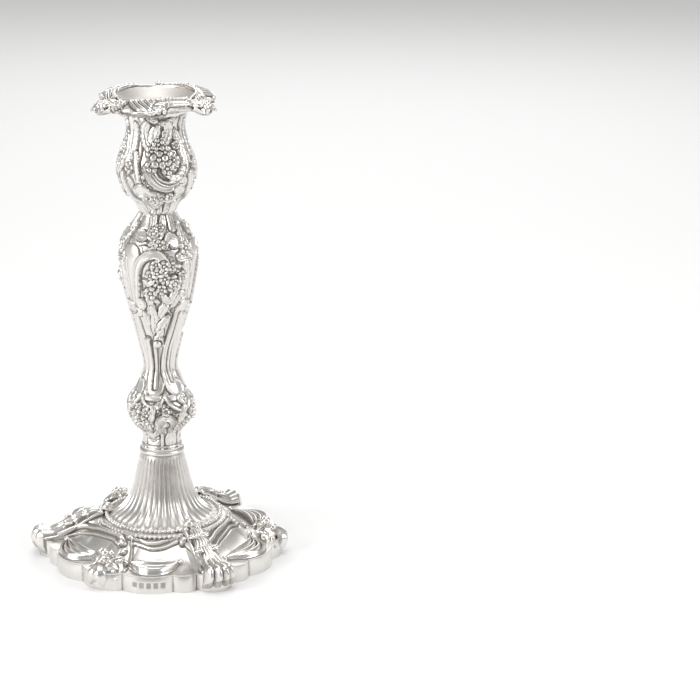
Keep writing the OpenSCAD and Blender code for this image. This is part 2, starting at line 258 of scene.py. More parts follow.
class Relief:
    """Height field over one repeat of a turned stage."""

    def __init__(self, outline: Outline, step: float, ground: float = -1.2) -> None:
        """Makes a level field.

        Args:
            outline: The stage's outline.
            step: Grid spacing.
            ground: Height of the ground under the ornament.
        """
        self.line = outline
        self.step = step
        arc = math.radians(PERIOD) * float(outline.r.mean())
        self.cols = max(6, round(arc / step / THIN)) * THIN
        self.angle = np.arange(self.cols) * PERIOD / self.cols
        self.h = np.full((len(outline.s), self.cols), ground)
        self.rad = np.radians(outline.r)[:, None]

    def _window(self, low: float, high: float, margin: float) -> slice:
        """Rows between two run lengths, with a margin."""
        i, j = np.searchsorted(self.line.s, [low - margin, high + margin])
        return slice(max(0, i - 1), j + 1)

    def lay(self, rows: slice, top: Array, edge: Array, groove: float = 0.55) -> None:
        """Lays an ornament over what is there and cuts a groove round it.

        Args:
            rows: Rows that top and edge cover.
            top: Height of the ornament over the outline.
            edge: Distance inside the ornament's edge, negative outside.
            groove: Depth of the groove.
        """
        inside = ease(edge / 0.38 + 0.5)
        cut = groove * np.exp(-((np.minimum(edge + 0.15, 0) / 0.42) ** 2))
        under = self.h[rows]
        self.h[rows] = (under - cut) * (1 - inside) + np.maximum(top, under * 0.25 + top * 0.75) * inside

    def _path(self, band: Band) -> tuple[Array, Array]:
        """Band's path as front angles and run lengths, with its curls, evenly spaced."""
        line = smooth_line(band.path, 16)
        s = np.interp(line[:, 1], self.line.z, self.line.s)
        radius = np.interp(s, self.line.s, self.line.r)
        middle = float(radius.mean())
        flat = np.stack([np.radians(line[:, 0]) * middle, s], axis=1)
        for end, curl in enumerate(band.curls):
            if curl is None:
                continue
            if end == 0:
                flat = flat[::-1]
            flat = np.vstack([flat, self._spiral(flat[-1], flat[-1] - flat[-3], curl)])
            if end == 0:
                flat = flat[::-1]
        run = lengths(flat)
        even = np.linspace(0, run[-1], max(12, round(run[-1] / (self.step * 1.1))))
        u, v = np.interp(even, run, flat[:, 0]), np.interp(even, run, flat[:, 1])
        return np.degrees(u / middle), v

    @staticmethod
    def _spiral(start: Array, heading: Array, curl: Curl) -> Array:
        """Points of a spiral that carries on from start along heading."""
        steps = round(26 * curl.turns) + 2
        bend = 2 * math.pi * curl.turns / steps
        t = math.atan2(heading[1], heading[0])
        p, points = np.array(start), []
        for i in range(steps):
            radius = curl.radius * (1 - 0.72 * i / steps)
            t += curl.side * bend
            p = p + radius * bend * np.array([math.cos(t), math.sin(t)])
            points.append(p)
        return np.array(points)

    def band(self, band: Band) -> None:
        """Lays a band."""
        angles, runs = self._path(band)
        widest = band.width * 0.5 + 1.2
        rows = self._window(runs.min(), runs.max(), widest)
        step = lengths(np.stack([np.radians(angles) * self.line.r.mean(), runs], axis=1))
        ru, rs = np.gradient(np.radians(angles)), np.gradient(runs)
        du = around(self.angle[None, :, None] - angles) * self.rad[rows, :, None]
        dv = (self.line.s[rows, None, None] - runs) + 0 * du
        best = np.argmin(du * du + dv * dv, axis=2)[..., None]
        du, dv = (np.take_along_axis(d, best, 2)[..., 0] for d in (du, dv))
        best = best[..., 0]
        radius = np.interp(runs, self.line.s, self.line.r)
        tu, tv = (ru * radius)[best], rs[best]
        side = np.sign(tu * dv - tv * du)
        t = best / (len(runs) - 1)
        half = band.width * 0.5 * (band.taper[0] + (band.taper[1] - band.taper[0]) * t)
        if band.belly:
            half = half * (1 - band.belly + band.belly * np.sin(np.pi * t) ** 0.7)
        if band.lobes:
            half = half * (0.76 + 0.24 * np.abs(np.sin(np.pi * band.lobes * t)) ** 0.7)
        off = np.hypot(du, dv)
        v = np.clip(off / np.maximum(half, 0.05), 0, 1.2) * side
        top = band.level + band.rise * section(band.form, v, step[best], half, band.count)
        self.lay(rows, top, half - off)

    def _polar(self, angle: float, z: float, reach: float) -> tuple[slice, Array, Array]:
        """Rows near a point, with each grid point's distance and bearing from it."""
        s = self.line.at(z)
        rows = self._window(s, s, reach + 1.2)
        du = around(self.angle[None, :] - angle) * self.rad[rows]
        dv = (self.line.s[rows] - s)[:, None] + 0 * du
        return rows, np.hypot(du, dv), np.arctan2(dv, du)

    def flower(self, flower: Flower) -> None:
        """Lays a flower, ring by ring, with a dished heart and a boss in it."""
        for ring in range(flower.rings):
            radius = flower.radius * (1 - 0.38 * ring)
            level = flower.level + 0.5 * ring * flower.rise
            rows, d, bearing = self._polar(flower.angle, flower.z, flower.radius)
            turn = math.radians(flower.turn) + ring * math.pi / flower.petals
            w = np.abs(((bearing - turn) * flower.petals / (2 * math.pi)) % 1 - 0.5) * 2
            reach = radius * (1 - 0.26 * (1 - w) ** 3)
            t = d / radius
            cup = 0.35 + 0.65 * np.sin(np.pi * np.clip(t, 0, 1) * 0.72)
            petal = cup * (0.45 + 0.55 * ease(w / 0.55))
            top = level + flower.rise * petal * (1 if flower.rings == 1 else 0.75)
            self.lay(rows, top, reach - d)
        heart = flower.radius * flower.heart
        boss = np.sqrt(np.clip(1 - (d / heart) ** 2, 0, 1))
        peak = flower.level + flower.rise * (0.55 + 0.25 * (flower.rings - 1))
        self.lay(rows, peak + 0.5 * flower.rise * boss, heart - d, 0.7)

    def lay_all(self, ornaments: list[Band | Flower]) -> None:
        """Lays bands and flowers in order, the lowest first."""
        for one in ornaments:
            if isinstance(one, Band):
                self.band(one)
            else:
                self.flower(one)

    def finish(self) -> Array:
        """Mats the low ground, keeps it above the depth limit, and works out the oxide.

        Returns:
            The oxide at each grid point, from 0 to 1.
        """
        noise = np.random.default_rng(7).standard_normal(self.h.shape)
        low = ease((-0.5 - self.h) / 0.5)
        self.h = np.maximum(self.h + MATTING * noise * low, -DEEPEST)
        return cavity(self.h, self.step)


def cavity(h: Array, step: float) -> Array:
    """Oxide that polishing leaves in the recesses of a height field, from 0 to 1."""
    fine = blur(h, 0.45 / step) - h
    wide = blur(h, 1.5 / step) - h
    return np.clip(fine * 2.6 + np.clip(wide - 0.12, 0, 2) * 1.15, 0, 1)


# ---- Meshes ----


@dataclass
class Solid:
    """Closed surface as points, faces and oxide for each point.

    Every face has four corners; a triangle repeats its last one.
    """

    points: Array
    faces: Array
    oxide: Array

    @staticmethod
    def join(parts: list[Solid]) -> Solid:
        """One surface made of several."""
        offsets = np.cumsum([0] + [len(p.points) for p in parts[:-1]])
        return Solid(
            np.vstack([p.points for p in parts]),
            np.vstack([p.faces + o for p, o in zip(parts, offsets)]),
            np.concatenate([p.oxide for p in parts]),
        )

    def turned(self, angle: float) -> Solid:
        """Copy turned about the stick's axis by an angle in degrees."""
        t = math.radians(angle)
        spin = np.array([[math.cos(t), math.sin(t), 0], [-math.sin(t), math.cos(t), 0], [0, 0, 1]])
        return Solid(self.points @ spin, self.faces, self.oxide)

    def tipped(self, angle: float) -> Solid:
        """Copy tipped about X, so that -Y goes down for a positive angle in degrees."""
        t = math.radians(angle)
        spin = np.array([[1, 0, 0], [0, math.cos(t), math.sin(t)], [0, -math.sin(t), math.cos(t)]])
        return Solid(self.points @ spin, self.faces, self.oxide)

    def placed(self, at: Place, scale: float = 1.0) -> Solid:
        """Copy scale times as big, with its origin moved to at."""
        return Solid(self.points * scale + np.array(at), self.faces, self.oxide)


def grid_faces(rows: int, cols: int, wrap: bool = False, start: int = 0) -> Array:
    """Faces of a grid of points whose rows go up and columns go counterclockwise, facing out.

    Args:
        rows: Number of rows.
        cols: Number of columns.
        wrap: Whether the columns join up.
        start: Index of the first point.

    Returns:
        One quad for each cell.
    """
    i, j = np.meshgrid(np.arange(rows - 1), np.arange(cols if wrap else cols - 1), indexing="ij")
    k = (j + 1) % cols
    quads = np.stack([i * cols + j, i * cols + k, (i + 1) * cols + k, (i + 1) * cols + j], axis=-1)
    return quads.reshape(-1, 4) + start


def stitch(fine: Array, coarse: Array, flip: bool) -> Array:
    """Faces between a fine and a coarse edge, THIN fine points to each coarse one."""
    faces = []
    for c in range(len(coarse) - 1):
        run = fine[c * THIN : (c + 1) * THIN + 1]
        faces += [(coarse[c], a, b, b) for a, b in zip(run[:-1], run[1:])]
        faces.append((coarse[c], run[-1], coarse[c + 1], coarse[c + 1]))
    out = np.array(faces)
    return out[:, [0, 2, 1, 1]] if flip else out


def shell(outer: Array, inner: Array, oxide: Array) -> Solid:
    """Closed sheet between an outer grid and a coarser inner one.

    Args:
        outer: Points, rows going up and columns counterclockwise.
        inner: Points at every THIN-th row and column of the outer grid.
        oxide: Oxide at each outer point.

    Returns:
        The sheet, with its four rims closed.
    """
    m, n = outer.shape[:2]
    p, q = inner.shape[:2]
    a = np.arange(m * n).reshape(m, n)
    b = m * n + np.arange(p * q).reshape(p, q)
    faces = [grid_faces(m, n), grid_faces(p, q, start=m * n)[:, ::-1]]
    faces.append(stitch(a[0], b[0], False))
    faces.append(stitch(a[-1], b[-1], True))
    faces.append(stitch(a[:, 0], b[:, 0], True))
    faces.append(stitch(a[:, -1], b[:, -1], False))
    points = np.vstack([outer.reshape(-1, 3), inner.reshape(-1, 3)])
    return Solid(points, np.vstack(faces), np.concatenate([oxide.ravel(), np.full(p * q, INSIDE)]))


def piece(name: str, solid: Solid, finish: Finish) -> bpy.types.Object:
    """Makes an object of its own from a surface.

    Args:
        name: The piece's name.
        solid: The surface, in millimetres.
        finish: Its finish.

    Returns:
        The object, at the origin.
    """
    three = solid.faces[:, 2] == solid.faces[:, 3]
    loops = np.concatenate([solid.faces[~three].ravel(), solid.faces[three][:, :3].ravel()])
    sizes = np.concatenate([np.full((~three).sum(), 4), np.full(three.sum(), 3)])
    starts = np.concatenate([[0], np.cumsum(sizes)[:-1]])
    mesh = bpy.data.meshes.new(name)
    mesh.vertices.add(len(solid.points))
    mesh.vertices.foreach_set("co", (solid.points * MM).astype(np.float32).ravel())
    mesh.loops.add(len(loops))
    mesh.loops.foreach_set("vertex_index", loops.astype(np.int32))
    mesh.polygons.add(len(sizes))
    mesh.polygons.foreach_set("loop_start", starts.astype(np.int32))
    mesh.update(calc_edges=True)
    mesh.validate()
    oxide = mesh.attributes.new("oxide", "FLOAT", "POINT")
    oxide.data.foreach_set("value", solid.oxide.astype(np.float32))
    mesh.shade_smooth()
    mesh.set_sharp_from_angle(angle=math.radians(SHARP))
    mesh.materials.append(finish.material())
    made = bpy.data.objects.new(name, mesh)
    bpy.context.scene.collection.objects.link(made)
    return made


def settle(made: bpy.types.Object, body: str, slot: str, *nodes: str) -> None:
    """Ties a finished piece to its body and hides the nodes that it stands for."""
    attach(made, body)
    for node in nodes:
        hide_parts(node)
    LOG.info("%s: %d faces on %s", made.name, len(made.data.polygons), body)


def settle_repeats(name: str, one: Solid, start: float, finish: Finish,
                   ties: tuple[str, str, str]) -> None:
    """Makes a piece for each repeat and sets them in place of numbered nodes.

    Args:
        name: The pieces' name before the number.
        one: The surface of one repeat.
        start: Angle that one is turned by, less a repeat, to reach the first place.
        finish: Their finish.
        ties: Their body, their slot and the nodes' name before the number.
    """
    body, slot, node = ties
    for k in range(REPEATS):
        made = piece(f"{name}_{k + 1}", one.turned(start + PERIOD * (k + 1)), finish)
        settle(made, body, slot, f"{node}_{k + 1}")


def heights(node: str) -> tuple[float, float]:
    """Heights of a node's foot and top, in millimetres."""
    low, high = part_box(node)
    return low.z / MM, high.z / MM


def spacing(step: float) -> float:
    """Grid spacing to build with: the step as given."""
    return step * 1.0


# ---- Finishes ----


class Tree:
    """Short way to build a node tree."""

    def __init__(self, tree: bpy.types.NodeTree) -> None:
        """Takes the tree to build in."""
        self.tree = tree

    def add(self, kind: str, inputs: dict | None = None, **props: object) -> bpy.types.Node:
        """Adds a node, with its properties and inputs; an input may be a value or a socket."""
        node = self.tree.nodes.new(kind)
        for key, value in props.items():
            setattr(node, key, value)
        for key, value in (inputs or {}).items():
            if isinstance(value, bpy.types.NodeSocket):
                self.tree.links.new(value, node.inputs[key])
            else:
                node.inputs[key].default_value = value
        return node

    def math(self, operation: str, *values: object) -> bpy.types.NodeSocket:
        """Adds a Math node and returns its result."""
        return self.add("ShaderNodeMath", dict(enumerate(values)), operation=operation).outputs[0]

    def tint(self, factor: object, a: object, b: object) -> bpy.types.NodeSocket:
        """Adds a Mix node between two colours and returns its result."""
        return self.add("ShaderNodeMix", {0: factor, 6: a, 7: b}, data_type="RGBA").outputs[2]

    def mix(self, factor: object, a: object, b: object) -> bpy.types.NodeSocket:
        """Adds a Mix node between two numbers and returns its result."""
        return self.add("ShaderNodeMix", {0: factor, 2: a, 3: b}).outputs[0]


def add_sockets(group: bpy.types.NodeTree, way: str, rows: tuple[tuple, ...]) -> None:
    """Adds sockets to a node group; a row is a name, a kind and, for a number or colour, its value."""
    for name, kind, *value in rows:
        socket = group.interface.new_socket(name, in_out=way, socket_type=f"NodeSocket{kind}")
        if value:
            socket.default_value = value[0]


def blank_material(name: str) -> tuple[bpy.types.Material, Tree]:
    """New material without nodes, and the tree to build it in."""
    made = bpy.data.materials.new(name)
    made.use_nodes = True
    made.node_tree.nodes.clear()
    return made, Tree(made.node_tree)


def silver_surface() -> bpy.types.NodeTree:
    """Node group that mixes bright metal with the oxide left in its recesses.

    Returns:
        The group, with colour, roughness, metal and height outputs.
    """
    if "Silver surface" in bpy.data.node_groups:
        return bpy.data.node_groups["Silver surface"]
    group = bpy.data.node_groups.new("Silver surface", "ShaderNodeTree")
    add_sockets(group, "INPUT", (
        ("Bright", "Color", (0.9, 0.88, 0.85, 1)), ("Oxide", "Color", (0.06, 0.05, 0.04, 1)),
        ("Polish", "Float", 0.1), ("Oxide amount", "Float", 1.0), ("Scratches", "Float", 0.3),
        ("Ripple", "Float", 0.3),
    ))
    add_sockets(group, "OUTPUT", (
        ("Color", "Color"), ("Roughness", "Float"), ("Metallic", "Float"), ("Height", "Float"),
    ))
    t = Tree(group)
    given = t.add("NodeGroupInput").outputs
    place = t.add("ShaderNodeTexCoord").outputs["Object"]
    oxide = t.add("ShaderNodeAttribute", attribute_name="oxide").outputs["Fac"]
    cloud = t.add("ShaderNodeTexNoise", {"Vector": place, "Scale": 220.0, "Detail": 4.0}).outputs["Fac"]
    broken = t.math("MULTIPLY_ADD", cloud, 0.5, t.math("SUBTRACT", oxide, 0.25))
    edge = t.add(
        "ShaderNodeMapRange", {"Value": broken, "From Min": 0.12, "From Max": 0.85},
        interpolation_type="SMOOTHSTEP",
    ).outputs[0]
    dark = t.math("MULTIPLY", edge, given["Oxide amount"])
    haze = t.add("ShaderNodeTexNoise", {"Vector": place, "Scale": 35.0, "Detail": 3.0}).outputs["Fac"]
    warm = t.tint(t.math("MULTIPLY", haze, 0.25), given["Bright"], (0.8, 0.74, 0.66, 1))
    color = t.tint(dark, warm, given["Oxide"])
    stretch = t.add("ShaderNodeMapping", {"Vector": place, "Scale": (900.0, 900.0, 120.0)}).outputs[0]
    hair = t.add("ShaderNodeTexNoise", {"Vector": stretch, "Scale": 1.0, "Detail": 6.0}).outputs["Fac"]
    rubbed = t.math("MULTIPLY_ADD", t.math("SUBTRACT", hair, 0.5), given["Scratches"], given["Polish"])
    smoky = t.math("MULTIPLY_ADD", t.math("SUBTRACT", haze, 0.5), 0.12, rubbed)
    rough = t.mix(dark, smoky, 0.55)
    ripple = t.add("ShaderNodeTexNoise", {"Vector": place, "Scale": 70.0, "Detail": 2.0}).outputs["Fac"]
    fine = t.math("MULTIPLY", hair, given["Scratches"])
    height = t.math("MULTIPLY_ADD", ripple, given["Ripple"], fine)
    metal = t.math("SUBTRACT", 1.0, t.math("MULTIPLY", dark, 0.55))
    t.add("NodeGroupOutput", {"Color": color, "Roughness": rough, "Metallic": metal, "Height": height})
    return group


@dataclass(frozen=True)
class Finish:
    """Silver finish: colours, polish and how much oxide stays in the recesses."""

    name: str
    bright: tuple[float, float, float, float] = (0.775, 0.761, 0.743, 1)
    oxide: tuple[float, float, float, float] = (0.2, 0.17, 0.14, 1)
    polish: float = 0.1
    amount: float = 0.92
    scratches: float = 0.06
    ripple: float = 0.25
    bump: float = 0.15

    def material(self) -> bpy.types.Material:
        """The finish as a material, made once."""
        if self.name in bpy.data.materials:
            return bpy.data.materials[self.name]
        made, t = blank_material(self.name)
        out = t.add("ShaderNodeGroup", {
            "Bright": self.bright, "Oxide": self.oxide, "Polish": self.polish,
            "Oxide amount": self.amount, "Scratches": self.scratches, "Ripple": self.ripple,
        }, node_tree=silver_surface()).outputs
        bump = t.add("ShaderNodeBump", {
            "Height": out["Height"], "Strength": self.bump, "Distance": 0.0006,
        })
        shader = t.add("ShaderNodeBsdfPrincipled", {
            "Base Color": out["Color"], "Roughness": out["Roughness"], "Metallic": out["Metallic"],
            "Normal": bump.outputs[0],
        })
        t.add("ShaderNodeOutputMaterial", {"Surface": shader.outputs[0]})
        return made


CHASED = Finish("chased silver", polish=0.3, amount=0.66, scratches=0.05, ripple=0.3, bump=0.12)
PLAIN = Finish("plain polished silver", polish=0.29, amount=0.75, scratches=0.04, ripple=0.25, bump=0.06)
CAST = Finish("cast silver", polish=0.24, amount=0.85, scratches=0.06, ripple=0.35, bump=0.15)
WORN = Finish("worn plain silver", bright=(0.64, 0.62, 0.59, 1), polish=0.56, amount=0.6, ripple=0.2,
              bump=0.05)
SOCKET = Finish("socket silver", bright=(0.52, 0.47, 0.41, 1), polish=0.38, amount=0.95, scratches=0.2)


# ---- Stages of the stem ----


def frond(path: Points, width: float, rise: float, lobes: int = 3, belly: float = 0.4) -> Band:
    """Lobed leaf that is widest along its middle."""
    return Band(path, width, rise, Form.LEAF, lobes=lobes, belly=belly)


def spray(seed: int, count: int, span: tuple[float, float], low: float, high: float,
          radius: float) -> list[Band | Flower]:
    """Small leaves and buds scattered close together over the ground.

    Args:
        seed: Seed of the scatter.
        count: Number of leaves and buds.
        span: Front angles that they lie between.
        low: Lowest height.
        high: Greatest height.
        radius: Radius of the stage there.

    Returns:
        The ornaments, for laying under the main ones.
    """
    rng = np.random.default_rng(seed)
    made: list[Band | Flower] = []
    for i in range(count):
        angle, z = float(rng.uniform(*span)), float(rng.uniform(low, high))
        if i % 4 == 3:
            size, turn = float(rng.uniform(1.3, 2.1)), float(rng.uniform(0, 70))
            made.append(Flower(angle, z, size, rise=1.0, level=-0.75, turn=turn))
            continue
        heading, bend = rng.uniform(0, 2 * math.pi), rng.uniform(-0.9, 0.9)
        length = rng.uniform(3.0, 5.6)
        path = [(angle, z)]
        for part in (0.5, 1.0):
            t = heading + bend * part
            across = math.degrees(length * part * math.cos(t) / radius)
            rise = float(np.clip(z + length * part * math.sin(t), low - 1, high + 1))
            path.append((angle + across, rise))
        width = float(rng.uniform(2.0, 3.2))
        made.append(Band(path, width, 1.0, Form.LEAF, level=-0.85, belly=0.6))
    return made


@dataclass
class Stage:
    """A turned and chased stage of the stem, struck in three like pieces."""

    node: str
    name: str
    stations: Points
    step: float = 0.3
    wall: float = 2.2
    ground: float = -0.95
    thirds: bool = True

    def relief(self, field_: Relief) -> None:
        """Lays the stage's ornament."""

    def build(self) -> None:
        """Makes the three pieces and sets them in place of their nodes."""
        low, high = heights(f"{self.node}_1" if self.thirds else self.node)
        step = spacing(self.step)
        line = Outline(self.stations, low, high, step)
        spare = (len(line.s) - 1) % THIN
        if spare:
            line = Outline(self.stations, low, high, line.s[-1] / (len(line.s) - 1 - spare) * 1.0000001)
        field_ = Relief(line, step, self.ground)
        self.relief(field_)
        oxide = field_.finish()
        if not self.thirds:
            self._whole(line, field_.angle, field_.h, oxide)
            return
        wide = (np.arange(field_.cols + 1) + round(field_.cols * SEAM / PERIOD)) % field_.cols
        angles = SEAM + np.arange(field_.cols + 1) * PERIOD / field_.cols
        h, oxide = field_.h[:, wide], oxide[:, wide]
        fade = ease((np.minimum(line.s, line.s[-1] - line.s) + 0.2) / 0.8)[:, None]
        h = h * fade - 0.3 * (1 - fade)
        radius = line.r[:, None] + h * line.out_r[:, None]
        height = line.z[:, None] + h * line.out_z[:, None]
        height[0], height[-1] = line.z[0], line.z[-1]
        outer = polar(radius, angles[None, :], height)
        inner = polar((line.r - self.wall)[::THIN, None], angles[None, ::THIN], line.z[::THIN, None])
        ties = ("candlestick", "chased_silver", self.node)
        settle_repeats(self.name, shell(outer, inner, oxide), 0.0, CHASED, ties)

    def _whole(self, line: Outline, angle: Array, h: Array, oxide: Array) -> None:
        """Makes the stage in one piece."""
        h, oxide = (np.tile(a, (1, REPEATS)) for a in (h, oxide))
        angle = every_repeat(angle)
        outer = polar(line.r[:, None] + h, angle, line.z[:, None])
        inner = polar(line.r[:, None] - self.wall, angle, line.z[:, None])
        made = piece(self.name, closed_ring(outer, inner, oxide), CHASED)
        settle(made, "candlestick", "chased_silver", self.node)


@dataclass
class Cup(Stage):
    """Candle cup: fluted straps, flowers and leaves under a flared mouth."""

    node: str = "cup_shell"
    name: str = "cup"
    stations: Points = field(default_factory=lambda: [
        (8.9, 0), (11.7, 0.106), (16.564, 0.191), (20.2, 0.361), (19.39, 0.51), (16.77, 0.638),
        (14.6, 0.808), (15.6, 0.93), (16.6, 1),
    ])

    def relief(self, field_: Relief) -> None:
        """Lays the cup's ornament."""
        f = Form
        field_.lay_all([
            *spray(11, 30, (-24, 60), 196, 232, 17.5),
            Band([(-50, 189), (-48, 198)], 3.0, 1.0, f.REEDS, count=2),
            Band([(-8, 189), (-6, 199)], 4.0, 1.2, f.LEAF, taper=(1, 0.5)),
            Band([(12, 189), (10, 198)], 3.6, 1.2, f.LEAF, taper=(1, 0.5)),
            Band([(32, 189), (30, 199)], 4.0, 1.2, f.LEAF, taper=(1, 0.5)),
            Band([(50, 189), (52, 197)], 3.2, 1.1, f.REEDS, count=2),
            Band([(-40, 222), (-40, 246)], 10.0, 1.0, f.SCROLL, level=-0.7),
            Band([(-40, 223), (-40, 240)], 4.2, 1.0, f.LEAF, level=-0.3, belly=0.3),
            Band([(-28, 247), (-22, 242), (-8, 238.6), (6, 238)], 4.6, 1.5, f.SCROLL, taper=(1, 0.6)),
            frond([(-18, 247), (-6, 243.5), (6, 242)], 4.4, 1.3),
            frond([(52, 247), (42, 243), (26, 240.6), (12, 241)], 4.6, 1.5, 4),
            frond([(14, 247), (24, 245.5), (36, 246)], 4.0, 1.2),
            Band([(-60, 246.5), (0, 247.5), (60, 246.5)], 5.0, 0.9, f.FLAT, level=-0.7),
            frond([(48, 214), (56, 222), (54, 230), (46, 236)], 6.5, 1.5),
            frond([(-6, 228), (-14, 231), (-19, 237), (-14, 241)], 6.6, 1.4),
            frond([(0, 230), (0, 235), (8, 239)], 6.4, 1.5, 2),
            frond([(14, 230), (22, 232), (30, 237), (28, 241)], 6.4, 1.4),
            Band([(-57, 214), (-50, 203), (-36, 196), (-24, 189)], 3.6, 1.5, f.REEDS, count=2),
            Band([(-34, 225), (-27, 216), (-24, 208), (-17, 199), (-13, 194)], 3.4, 1.6, f.SCROLL),
            Band([(-44, 213), (-39, 206)], 4.0, 1.0, f.ROPE, belly=0.6),
            Band([(-8, 218), (0, 212), (18, 208.5), (44, 210)], 6.4, 1.6, f.SCROLL),
            Band([(-2, 215), (8, 210.6), (22, 208.6), (38, 209.4)], 1.0, 0.5, level=0.1),
            Band([(-18, 207), (-8, 204), (4, 203)], 4.6, 1.4, f.SCROLL, curls=(Curl(2.4), None)),
            Band([(10, 203), (28, 200), (46, 204)], 3.6, 1.3, f.SCROLL, curls=(None, Curl(2.2))),
            frond([(-12, 198), (0, 196), (12, 199)], 4.4, 1.3, 3, 0.5),
            frond([(20, 214), (36, 213), (50, 218)], 4.4, 1.5, 3, 0.5),
            Flower(-42, 218, 3.1),
            Flower(27, 202, 2.6, 5, 1.6),
            Flower(-4, 200, 2.8, 5, 1.6, turn=40),
            Flower(10, 200, 2.4, 5, 1.5, turn=10),
            Flower(32, 222, 3.6, 6, 1.7, turn=20),
            Flower(42, 229, 2.4, 5, 1.5),
            Flower(-4, 226.5, 3.4),
            Flower(8, 230, 3.2, 5, 1.8, turn=30),
            Flower(19, 226, 3.8, 5, 1.9, turn=50),
            Flower(-3, 219.5, 3.6, 5, 1.9, turn=15),
            Flower(8, 222.5, 4.6, 5, 2.3, turn=12),
            Flower(20, 218, 3.6, 5, 1.9, turn=5),
        ])


@dataclass
class Stem(Stage):
    """Vase-shaped middle of the stem: C-scrolls round a spray of flowers."""

    node: str = "stem_shell"
    name: str = "stem"
    stations: Points = field(default_factory=lambda: [
        (13.2, 0), (10.2, 0.08), (8.5, 0.15), (11.2, 0.29), (15.428, 0.46), (18.473, 0.6),
        (20.3, 0.76), (18.27, 0.86), (12.5, 0.94), (8.9, 1),
    ])

    def relief(self, field_: Relief) -> None:
        """Lays the stem's ornament."""
        f = Form
        field_.lay_all([
            *spray(5, 58, (-30, 58), 140, 171, 16.5),
            *spray(8, 16, (-20, 60), 173, 186, 17.5),
            Band([(-44, 142), (-44, 171)], 12.0, 0.9, f.FLAT, level=-0.75),
            Band([(-52, 143), (-52, 169)], 1.0, 0.5, level=-0.2),
            Band([(-57, 145), (-57, 168)], 1.0, 0.5, level=-0.2),
            Band([(-62, 148), (-61, 182)], 3.0, 1.2, f.SCROLL),
            frond([(50, 144), (52, 158), (50, 168)], 6.0, 1.2, 4, 0.3),
            frond([(28, 143), (38, 148), (50, 150)], 5.0, 1.3),
            Band([(40, 170), (58, 170)], 5.5, 1.2, f.REEDS, count=4),
            frond([(40, 176), (52, 180), (62, 186)], 5.0, 1.4),
            Band([(14, 183), (20, 190)], 4.0, 1.2, f.LEAF, belly=0.3),
            Band([(-8, 184), (-8, 190)], 4.0, 1.1, f.REEDS, count=3),
            Band([(40, 184), (44, 190)], 4.0, 1.1, f.REEDS, count=3),
            frond([(-15, 136), (-12, 142), (-16, 148)], 5.4, 1.4),
            frond([(2, 136), (10, 141), (20, 147)], 5.4, 1.4),
            frond([(-10, 177), (0, 179), (12, 184)], 5.0, 1.4, 2),
            Band([(14, 176), (24, 181), (36, 179)], 3.4, 1.4, f.SCROLL,
                 curls=(None, Curl(2.0, 1.2, -1))),
            Band([(-12, 184), (-22, 180), (-32, 180)], 3.0, 1.5, f.SCROLL,
                 curls=(None, Curl(2.2, 1.3, -1))),
            frond([(-20, 176), (-10, 174), (0, 176)], 3.8, 1.4, 2),
            Flower(-4, 182, 4.2, 5, 1.9, turn=10, rings=2),
            Flower(7, 177, 3.0, turn=40),
            Flower(8, 185, 2.4, 5, 1.5),
            Band([(-38, 145), (-34, 156), (-29, 165), (-16, 171), (3, 172), (13, 168)], 5.4, 1.7,
                 f.SCROLL, taper=(0.7, 1), curls=(Curl(2.6, 1.0, 1), Curl(3.4, 1.0, -1))),
            Flower(0, 167, 2.6, 5, 1.6),
            Flower(12, 166, 3.0, turn=30),
            Flower(25, 165.5, 2.8, 5, 1.6, turn=10),
            Flower(-9, 161, 2.8, 5, 1.6, turn=50),
            frond([(10, 150), (20, 146), (34, 152)], 4.6, 1.5),
            frond([(-20, 158), (-12, 156), (-4, 158)], 3.6, 1.2),
            Flower(50, 174, 3.6),
            Flower(-10, 151, 3.7, 5, 1.8),
            Flower(2, 162, 3.0, 5, 1.6, turn=30),
            Flower(13, 159, 3.2, 6, 1.8, turn=10),
            Flower(8, 153, 3.0, 5, 1.6, turn=50),
            Flower(28, 156, 4.8, 5, 2.2, turn=20, rings=2),
            Flower(42, 160, 2.6, 5, 1.6),
            Band([(66, 94), (63, 106), (62, 122), (60, 138)], 7.0, 0.9, f.REEDS, level=-0.7,
                 taper=(1.5, 1)),
            frond([(-12, 127), (-18, 133), (-26, 139)], 5.0, 1.5),
            frond([(-8, 128), (-6, 136), (-10, 143)], 4.6, 1.5),
            frond([(0, 127), (10, 133), (22, 137)], 5.0, 1.6),
            frond([(-9, 122), (0, 125), (10, 129)], 4.4, 1.5, 2),
            Band([(-12, 96), (-12, 108), (-13, 119)], 2.4, 0.5, level=-1.0),
            Band([(8, 124), (9, 112), (8, 102), (3, 95.6), (-12, 93.9), (-27, 95.6), (-32, 102),
                  (-32, 112), (-30, 123)], 3.7, 1.5, f.SCROLL, level=-0.7, taper=(0.8, 0.9)),
            Band([(46, 141), (40, 131), (30, 119), (27, 108), (31, 99), (42, 95)], 6.2, 1.3, f.SCROLL,
                 taper=(0.8, 1.15), curls=(Curl(2.6, 0.9, -1), Curl(2.3, 1.1, 1))),
            Band([(49, 138), (43, 127), (34, 117), (32, 108), (38, 100)], 1.3, 0.6, level=0.1),
            Flower(-4, 121, 2.3, 3, 1.8, -0.3, heart=0.9),
        ])


